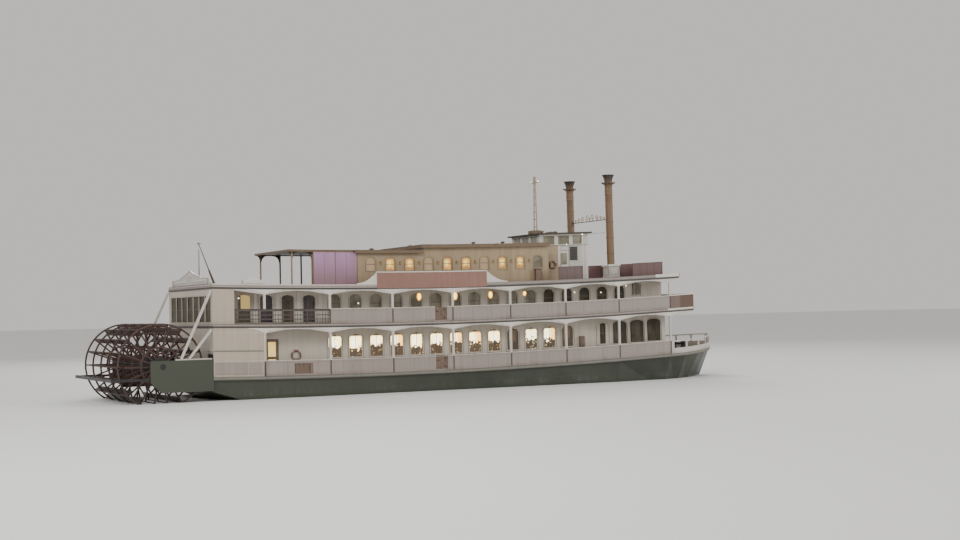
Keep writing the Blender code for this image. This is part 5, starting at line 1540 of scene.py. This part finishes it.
# %% Ledge and corner boards
SILL_SHAPE = [(-0.01, -0.03), (0.02, -0.02), (0.05, -0.012), (0.05, 0.008), (-0.01, 0.008)]
HEAD_SHAPE = [(-0.01, 0.0), (0.012, 0.0), (0.02, 0.05), (-0.01, 0.05)]
marks = (PILOT_AFT, at(5), PILOT_FRONT + 0.004)
for level, profile in ((PILOT_SILL, SILL_SHAPE), (PILOT_HEAD, HEAD_SHAPE)):
    path = [(x, -PILOT_HALF - 0.004, level + sheer(x)) for x in marks]
    put(ledge, moulding(round_the_ship(path), profile))
levels = (TOP_DECK + 0.01, PILOT_SILL - 0.02)
board(corners, (PILOT_FRONT, PILOT_FRONT - 0.11), 0.010, 0.01, levels, wall=PILOT_HALF)
board(corners, (at(BUFF_END), at(BUFF_END) + 0.05), 0.010, 0.01, levels, wall=PILOT_HALF)
board(corners, (PILOT_FRONT - 0.27, PILOT_FRONT - 0.19), 0.012, 0.01, (TOP_DECK + 0.01, PILOT_HEAD + 0.04),
      wall=PILOT_HALF)
piece("pilot_ledge", ledge, WHITE_TRIM_AND_HIGHLIGHT)
bent_pair("pilot_corner_boards", corners, WHITE_TRIM_AND_HIGHLIGHT, "cream_paint")

# %% Louvred windows
louvres, caps, breaks = meshes(3)
beside = side_place(5.575, PILOT_HALF, TOP_DECK)
ahead = move(PILOT_FRONT, -0.48, TOP_DECK + sheer(PILOT_FRONT)) @ spun(90)
for place in (beside, ahead):
    put(caps, hoop(oblong(spread(0, 0.19), (0.72, 1.30)), 0.03, 0.02), place @ move(y=-0.012))
    block(louvres, spread(0, 0.165), spread(0, 0.004), (0.745, 1.275), 0, place)
    for slat in range(9):
        shut = place @ move(z=0.785 + 0.057 * slat) @ spun(35, "X")
        block(louvres, spread(0, 0.165), spread(0, 0.012), spread(0, 0.006), 0, shut)

# %% Wind breaks
BREAK = (TOP_DECK + 0.004, TOP_DECK + 0.49)
for start, end, side, bays in ((5.02, 5.455, 2.2, 3), (6.36, 6.93, 2.45, 4)):
    low, high = at(start), at(end)
    block(breaks, (low, high), spread(-side, 0.012), BREAK, 0.004)
    block(breaks, (low - 0.02, high + 0.02), spread(-side, 0.024), (BREAK[1] - 0.01, BREAK[1] + 0.01), 0.006)
    for number in range(bays + 1):
        post = spread(low + (high - low) * number / bays, 0.02)
        block(breaks, post, spread(-side, 0.022), (BREAK[0] - 0.002, BREAK[1] - 0.005), 0.004)
block(breaks, spread(high, 0.012), (-2.45, -1.105), BREAK, 0.004)
pair("pilot_louvres", louvres, SHADOW, "roof_paint")
bent_pair("pilot_wind_breaks", breaks, MAROON, "red_paint")
pair("pilot_trim_caps", caps, WHITE_TRIM_AND_HIGHLIGHT, "cream_paint")

# %% Bridge lamps and roof gear
white, stems, gear = meshes(3)
bulb(side_place(5.74, PILOT_HALF + 0.002, PILOT_HEAD) @ move(z=0.02), white, stems, 0.028)
bulb(side_place(5.42, PILOT_HALF + 0.05, PILOT_SILL), white, stems, 0.022)
both_sides(white)
for x, y, reach, tall in ((at(4.99), -0.5, 0.2, 0.14), (at(5.45), 0.2, 0.12, 0.10)):
    block(gear, spread(x, reach), spread(y, 0.18), (PILOT_ROOF - 0.002, PILOT_ROOF + tall), 0.015,
          move(z=sheer(x)))
    put(gear, turned(MUSHROOM, 14), move(x + reach + 0.12, y, PILOT_ROOF + sheer(x)))
low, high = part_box("mast")
for y in (-0.26, 0.26):
    put(white, globe(0.026), move((low.x + high.x) / 2, y, high.z - 0.20))
piece("bridge_lamps", white, WHITE_LAMP)
pair("bridge_lamp_stems", stems, BRASS, "dark_steel")
piece("pilot_roof_gear", gear, FASCIA)

# %% [markdown]
# Between the stacks.
# A straight iron spreader holds the stacks apart, with gilt scrolls standing on it, and a thin
# stay runs lower down. The scrolls are a flat bar pushed along a spiral.

# %% Spreader
low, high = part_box("stack_spreader")
bar_level = low.z + 0.02
bar_x = (low.x + high.x) / 2
reach = STACK_SIDE - STACK_RADIUS + 0.01
spreader, scrolls = meshes(2)
block(spreader, spread(bar_x, 0.012), spread(0, reach), (bar_level, bar_level + 0.03), 0.004)
put(spreader, rod((bar_x, -reach, bar_level - 0.48), (bar_x, reach, bar_level - 0.48), 0.006, 6))
for side in (-1, 1):
    block(spreader, spread(bar_x, 0.02), spread(side * reach, 0.02),
          (bar_level - 0.05, bar_level + 0.10), 0.006)


def spiral(start, end, turns, flip, steps=16):
    """Points in the YZ plane that wind in from the start radius to the end radius."""
    points = []
    for step in range(steps + 1):
        share = step / steps
        turn = -math.pi / 2 + math.tau * turns * share
        radius = start + (end - start) * share
        points.append((0, flip * radius * math.cos(turn), radius * math.sin(turn)))
    return points


SCROLL_BAR = oblong(spread(0, 0.010), spread(0, 0.010))
for middle, radius in ((0.17, 0.135), (0.53, 0.11), (0.82, 0.085), (1.06, 0.06)):
    for side in (-1, 1):
        put(scrolls, moulding(spiral(radius, radius * 0.25, 1.3, side), SCROLL_BAR, (1, 0, 0)),
            move(bar_x, side * middle, bar_level + 0.03 + radius))
put(scrolls, turned([(0, 0), (0.03, 0), (0.012, 0.05), (0.03, 0.09), (0, 0.16)], 10),
    move(bar_x, 0, bar_level + 0.03))
piece("stack_spreader_bar", spreader, IRON, stands_for=("stack_spreader",))
piece("spreader_scrolls", scrolls, GILT)

# %% [markdown]
# Doors.
# Each door has a pane in its upper half, a raised panel below, a lock plate with a handle on
# both faces and three hinges on its pin. All of this rides on the door, so it swings with it.
# The places come from the door's own box. Side doors lie along the ship and follow the sheer;
# front doors lie across it. The doors to the main saloon are glazed below too.

# %% Door fittings
STILE = 0.08
DOOR_RAIL = 0.10
SILL = 0.04


def door_fittings(name, deck, head, across, hinge, pane_finish):
    """Glass, panel and ironwork of one door; across is 0 for a door along X and 1 along Y."""
    low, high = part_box(name)
    thick = 1 - across
    start, end = low[across], high[across]
    face = (low[thick] + high[thick]) / 2
    half = (high[thick] - low[thick]) / 2
    foot = deck + SILL
    middle = (foot + head) / 2
    if hinge == "start":
        lock, pin, inward = end - 0.045, start + 0.012, 0.07
    else:
        lock, pin, inward = start + 0.045, end - 0.012, -0.07
    left, right, up = start + STILE, end - STILE, head - DOOR_RAIL
    glass_pane, panels, irons = meshes(3)
    block(glass_pane, (left - 0.004, right + 0.004), spread(0, 0.005), (middle - 0.004, up + 0.004), 0)
    rim = oblong((left - 0.018, right + 0.018), (middle - 0.018, up + 0.018))
    panel = oblong((left, right), (foot + 0.11, middle - 0.09))
    for turn in (-1, 1):
        side = flipped(1, -turn) @ move(y=-half)
        put(panels, hoop(rim, 0.022, 0.014), side @ move(y=-0.008))
        lower = glass_pane if "main_side" in name else panels
        put(lower, slab(panel, 0.012, 0.005), side @ move(y=-0.008))
        block(irons, spread(lock, 0.016), (-0.005, 0.003), (middle - 0.10, middle + 0.03), 0.002, side)
        grip = (lock, -0.035, middle - 0.03)
        put(irons, rod((lock, 0, middle - 0.03), grip, 0.007), side)
        put(irons, rod(grip, (lock - inward, -0.035, middle - 0.03), 0.007), side)
    for level in (foot + 0.14, middle, head - 0.14):
        put(irons, rod((pin, 0, level - 0.035), (pin, 0, level + 0.035), 0.0155, 10))
    wood = WHITE_TRIM_AND_HIGHLIGHT if "pilot" in name else WOOD
    for bm, suffix, finish, slot in ((glass_pane, "_glass", pane_finish, None),
                                     (panels, "_panels", wood, "varnished_wood"),
                                     (irons, "_irons", BRASS, "dark_steel")):
        if across:
            bm.transform(move(face, z=sheer((low.x + high.x) / 2)) @ spun(90) @ flipped(1, -1))
        else:
            bm.transform(move(y=face))
            lift(bm)
        piece(name + suffix, bm, finish, name)


# %% Doors
MAIN_HEAD = 1.965
DOOR_GLOW = room_behind("doorway_glass", BAY, at(0.19), (MAIN_DECK - 0.3, MAIN_DECK + 1.45),
                        ((0.42, 0.20, 0.03), (1.0, 0.52, 0.05), (1.0, 0.76, 0.24)), 1.25, 0.2, 0.1, 0.9)
for word, hinge in (("starboard", "start"), ("port", "end")):
    door_fittings("main_side_door_" + word, MAIN_DECK, MAIN_HEAD, 0, "end", DOOR_GLOW)
    door_fittings("pilot_door_" + word, TOP_DECK, PILOT_SILL - 0.23, 0, "end", DIM)
    door_fittings("main_front_door_" + word, MAIN_DECK, MAIN_HEAD, 1, hinge, DIM)
door_fittings("upper_front_door", UPPER_DECK, 3.57, 1, "start", DIM)

# %% [markdown]
# Boarding gates.
# The gates in the bulwarks are framed boards with a brace from the foot of the hinge side up to
# the free end, a cap and a bolt. They are kept narrow, because near its pin a gate must not
# touch the rail beside it when it swings.


# %% Gate boards
def gate_fittings(name, deck, planks=5):
    low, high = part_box(name)
    foot, top = deck + 0.06, deck + 0.50
    y = (low.y + high.y) / 2
    start, end = low.x + 0.01, high.x - 0.03
    boards, bolts = meshes(2)
    pitch = (end - start) / planks
    for face in spread(y, 0.015):
        for plank in range(planks):
            run = (start + pitch * plank + 0.003, start + pitch * (plank + 1) - 0.003)
            block(boards, run, spread(face, 0.003), (foot + 0.04, top - 0.05), 0.001)
        for level in (foot, top - 0.055):
            block(boards, (start, end), spread(face, 0.005), (level, level + 0.045), 0.002)
        put(boards, rod((end - 0.02, face, foot + 0.05), (start + 0.02, face, top - 0.06), 0.012, 4))
    block(bolts, (start + 0.005, start + 0.10), (y - 0.026, y - 0.018), (top - 0.16, top - 0.13), 0.002)
    put(bolts, rod((start - 0.002, y - 0.022, top - 0.145), (start + 0.11, y - 0.022, top - 0.145), 0.005))
    for level in (foot + 0.06, top - 0.08):
        block(bolts, (end - 0.11, end + 0.005), (y - 0.023, y - 0.017), spread(level, 0.012), 0.002)
    piece(name + "_boards", lift(boards), WOOD, name)
    piece(name + "_bolts", lift(bolts), IRON, name)


for word in ("starboard", "port"):
    gate_fittings("main_gate_" + word, MAIN_DECK)
    gate_fittings("upper_gate_" + word, UPPER_DECK)

# %% [markdown]
# Fore and aft.
# The forward deck edges are painted white. The balcony has a white cap. On the foredeck stand
# bollards, a windlass and a hatch, and aft a second pole stands by the flagstaff. Slatted
# benches line the decks.

# %% Bright forward edges
edges = bmesh.new()
for line, deck, aft, front in ((TOP_LINE, TOP_DECK, 6.72, 7.19), (UPPER_LINE, UPPER_DECK, 6.95, 7.47)):
    out = HALF_BEAM + 0.02
    levels = (line + 0.055, deck + 0.012)
    block(edges, (at(aft), at(front) + 0.02), (-out, -out + 0.03), levels, 0.006)
    block(edges, (at(front) - 0.01, at(front) + 0.02), (-out, 0), levels, 0.006)
bent_pair("forward_edges", edges, WHITE_TRIM_AND_HIGHLIGHT, "cream_paint")

# %% Balcony cap
CAP = [(-0.035, 0), (0.034, 0), (0.04, 0.018), (0.034, 0.038), (-0.035, 0.038)]
BALCONY_SIDE = 2.70
BALCONY_FRONT = 8.341
caps = bmesh.new()
path = [(x, -BALCONY_SIDE, UPPER_DECK + BULWARK_TOP + sheer(x)) for x in (at(7), BALCONY_FRONT)]
put(caps, moulding(round_the_ship(path), CAP))
piece("balcony_cap", caps, WHITE_TRIM_AND_HIGHLIGHT)

# %% Foredeck gear
BOLLARD = [(0, 0), (0.06, 0), (0.06, 0.015), (0.038, 0.03), (0.036, 0.12), (0.055, 0.14), (0.055, 0.16),
           (0, 0.17)]
DRUM_END = [(0, -0.5), (0.075, -0.5), (0.05, -0.45), (0.05, -0.40), (0.03, -0.38), (0.03, -0.3),
            (0.10, -0.29), (0.07, -0.24)]
CHEEK = [(-0.14, 0), (0.14, 0), (0.07, 0.30), (-0.07, 0.30)]
fittings, hatch = meshes(2)
for bay, y in ((7.62, 1.75), (8.05, 1.2)):
    for side in (-1, 1):
        for x in spread(at(bay), 0.1):
            put(fittings, turned(BOLLARD, 14), move(x, side * y, MAIN_DECK + sheer(x) - 0.004))
x = at(7.95)
deck = MAIN_DECK + sheer(x)
for y in (-0.34, 0.34):
    put(fittings, slab(CHEEK, 0.05, 0.005), move(x, y - 0.025, deck))
drum = [*DRUM_END, *[(radius, -along) for radius, along in reversed(DRUM_END)]]
put(fittings, turned(drum, 18), move(x, 0, deck + 0.22) @ LIE_DOWN)
x = at(7.5)
lid = MAIN_DECK + 0.12
block(hatch, spread(x, 0.3), spread(0, 0.35), (MAIN_DECK, lid), 0.01, move(z=sheer(x)))
block(hatch, spread(x, 0.33), spread(0, 0.38), (lid, MAIN_DECK + 0.15), 0.008, move(z=sheer(x)))
piece("foredeck_fittings", fittings, IRON)
piece("foredeck_hatch", hatch, WOOD)

# %% Aft poles
STAFF_LEAN = math.radians(21)
pole = bmesh.new()
x = at(-0.65)
deck = TOP_DECK + sheer(x)
put(pole, rod((x, -0.3, deck), (x, -0.3, deck + 1.25), 0.022, 8, 0.012))
put(pole, turned([(0, 0), (0.06, 0), (0.05, 0.05), (0.024, 0.07), (0, 0.07)], 10), move(x, -0.3, deck))
x = at(-0.38)
foot = Vector((x, 0, TOP_DECK + sheer(x) + 0.04))
lean = Vector((-math.sin(STAFF_LEAN), 0, math.cos(STAFF_LEAN)))
put(pole, rod(foot, foot + lean * 0.55, 0.045, 8, 0.032))
piece("aft_poles", pole, POLE)

# %% Benches
benches = bmesh.new()


def bench(bay, y, length, level):
    """A slatted seat with its back towards +Y."""
    x = at(bay)
    deck = level + max(sheer(x), sheer(x + length)) - 0.002
    for slat in range(3):
        place = y + 0.06 * slat
        block(benches, (x, x + length), (place, place + 0.045), (deck + 0.20, deck + 0.215))
    for rise in (0.27, 0.33, 0.39):
        block(benches, (x, x + length), (y + 0.19, y + 0.205), (deck + rise, deck + rise + 0.04))
    for share in (0.04, 0.5, 0.96):
        post = spread(x + length * share, 0.012)
        block(benches, post, (y, y + 0.02), (deck - 0.004, deck + 0.20), 0.002)
        block(benches, post, (y + 0.185, y + 0.205), (deck - 0.004, deck + 0.43), 0.002)


for bay in (1.85, 2.2, 2.6, 3.0):
    bench(bay, -2.42, 0.7, TOP_DECK)
for bay in (1.1, 1.45, 2.1, 3.1, 3.45, 4.1, 4.45, 5.1):
    bench(bay, -2.36, 0.6, UPPER_DECK)
pair("deck_benches", benches, WOOD, "varnished_wood")

# %% [markdown]
# Floor, light and camera.
# The ship is shown afloat, so a plain pale floor lies at the water's surface. Large soft lamps
# stand round it, as in a studio, and the camera looks from the quarter as the photograph does:
# low, from far off, with a long lens.

# %% Floor and light
FLOOR_HALF = 400
STUDIO_COLOUR = (0.86, 0.84, 0.81, 1)
STUDIO_STRENGTH = 0.8
LAMPS_AIM = Vector((0, 0, 3))
floor = bmesh.new()
bmesh.ops.create_grid(floor, x_segments=1, y_segments=1, size=FLOOR_HALF)
mesh = bpy.data.meshes.new("floor")
floor.to_mesh(mesh)
floor.free()
ground = bpy.data.objects.new("floor", mesh)
bpy.context.scene.collection.objects.link(ground)
pale = Finish("pale_floor")
colour = pale.blend(pale.noise(0.05, 2.0), (0.72, 0.72, 0.71), (0.77, 0.77, 0.76))
mesh.materials.append(pale.done(colour, 0.7))

world = bpy.context.scene.world or bpy.data.worlds.new("studio")
bpy.context.scene.world = world
world.use_nodes = True
background = world.node_tree.nodes["Background"]
background.inputs["Color"].default_value = STUDIO_COLOUR
background.inputs["Strength"].default_value = STUDIO_STRENGTH


def softbox(name, place, size, power):
    lamp = bpy.data.lights.new(name, "AREA")
    lamp.shape = "DISK"
    lamp.size = size
    lamp.energy = power
    item = bpy.data.objects.new(name, lamp)
    item.location = place
    item.rotation_euler = (LAMPS_AIM - Vector(place)).to_track_quat("-Z", "Y").to_euler()
    bpy.context.scene.collection.objects.link(item)


softbox("key", (-30, -34, 32), 18, 13000)
softbox("fill", (34, -28, 18), 22, 6000)
softbox("back", (10, 38, 30), 22, 9000)

# %% Camera
HEADING = math.radians(27.3)
PITCH = math.radians(1.64)
ROLL = math.radians(1.2)
CAMERA_PLACE = (-25.2, -49.5, 2.8)
SENSOR_WIDTH = 36
FOCAL_LENGTH = 54.3
FAR_CLIP = 1500
view = Vector((math.sin(HEADING) * math.cos(PITCH), math.cos(HEADING) * math.cos(PITCH), math.sin(PITCH)))
lens = bpy.data.cameras.new("camera")
lens.sensor_width = SENSOR_WIDTH
lens.lens = FOCAL_LENGTH
lens.clip_end = FAR_CLIP
camera = bpy.data.objects.new("camera", lens)
camera.location = CAMERA_PLACE
camera.rotation_mode = "QUATERNION"
camera.rotation_quaternion = view.to_track_quat("-Z", "Y") @ Quaternion((0, 0, 1), -ROLL)
bpy.context.scene.collection.objects.link(camera)
bpy.context.scene.camera = camera
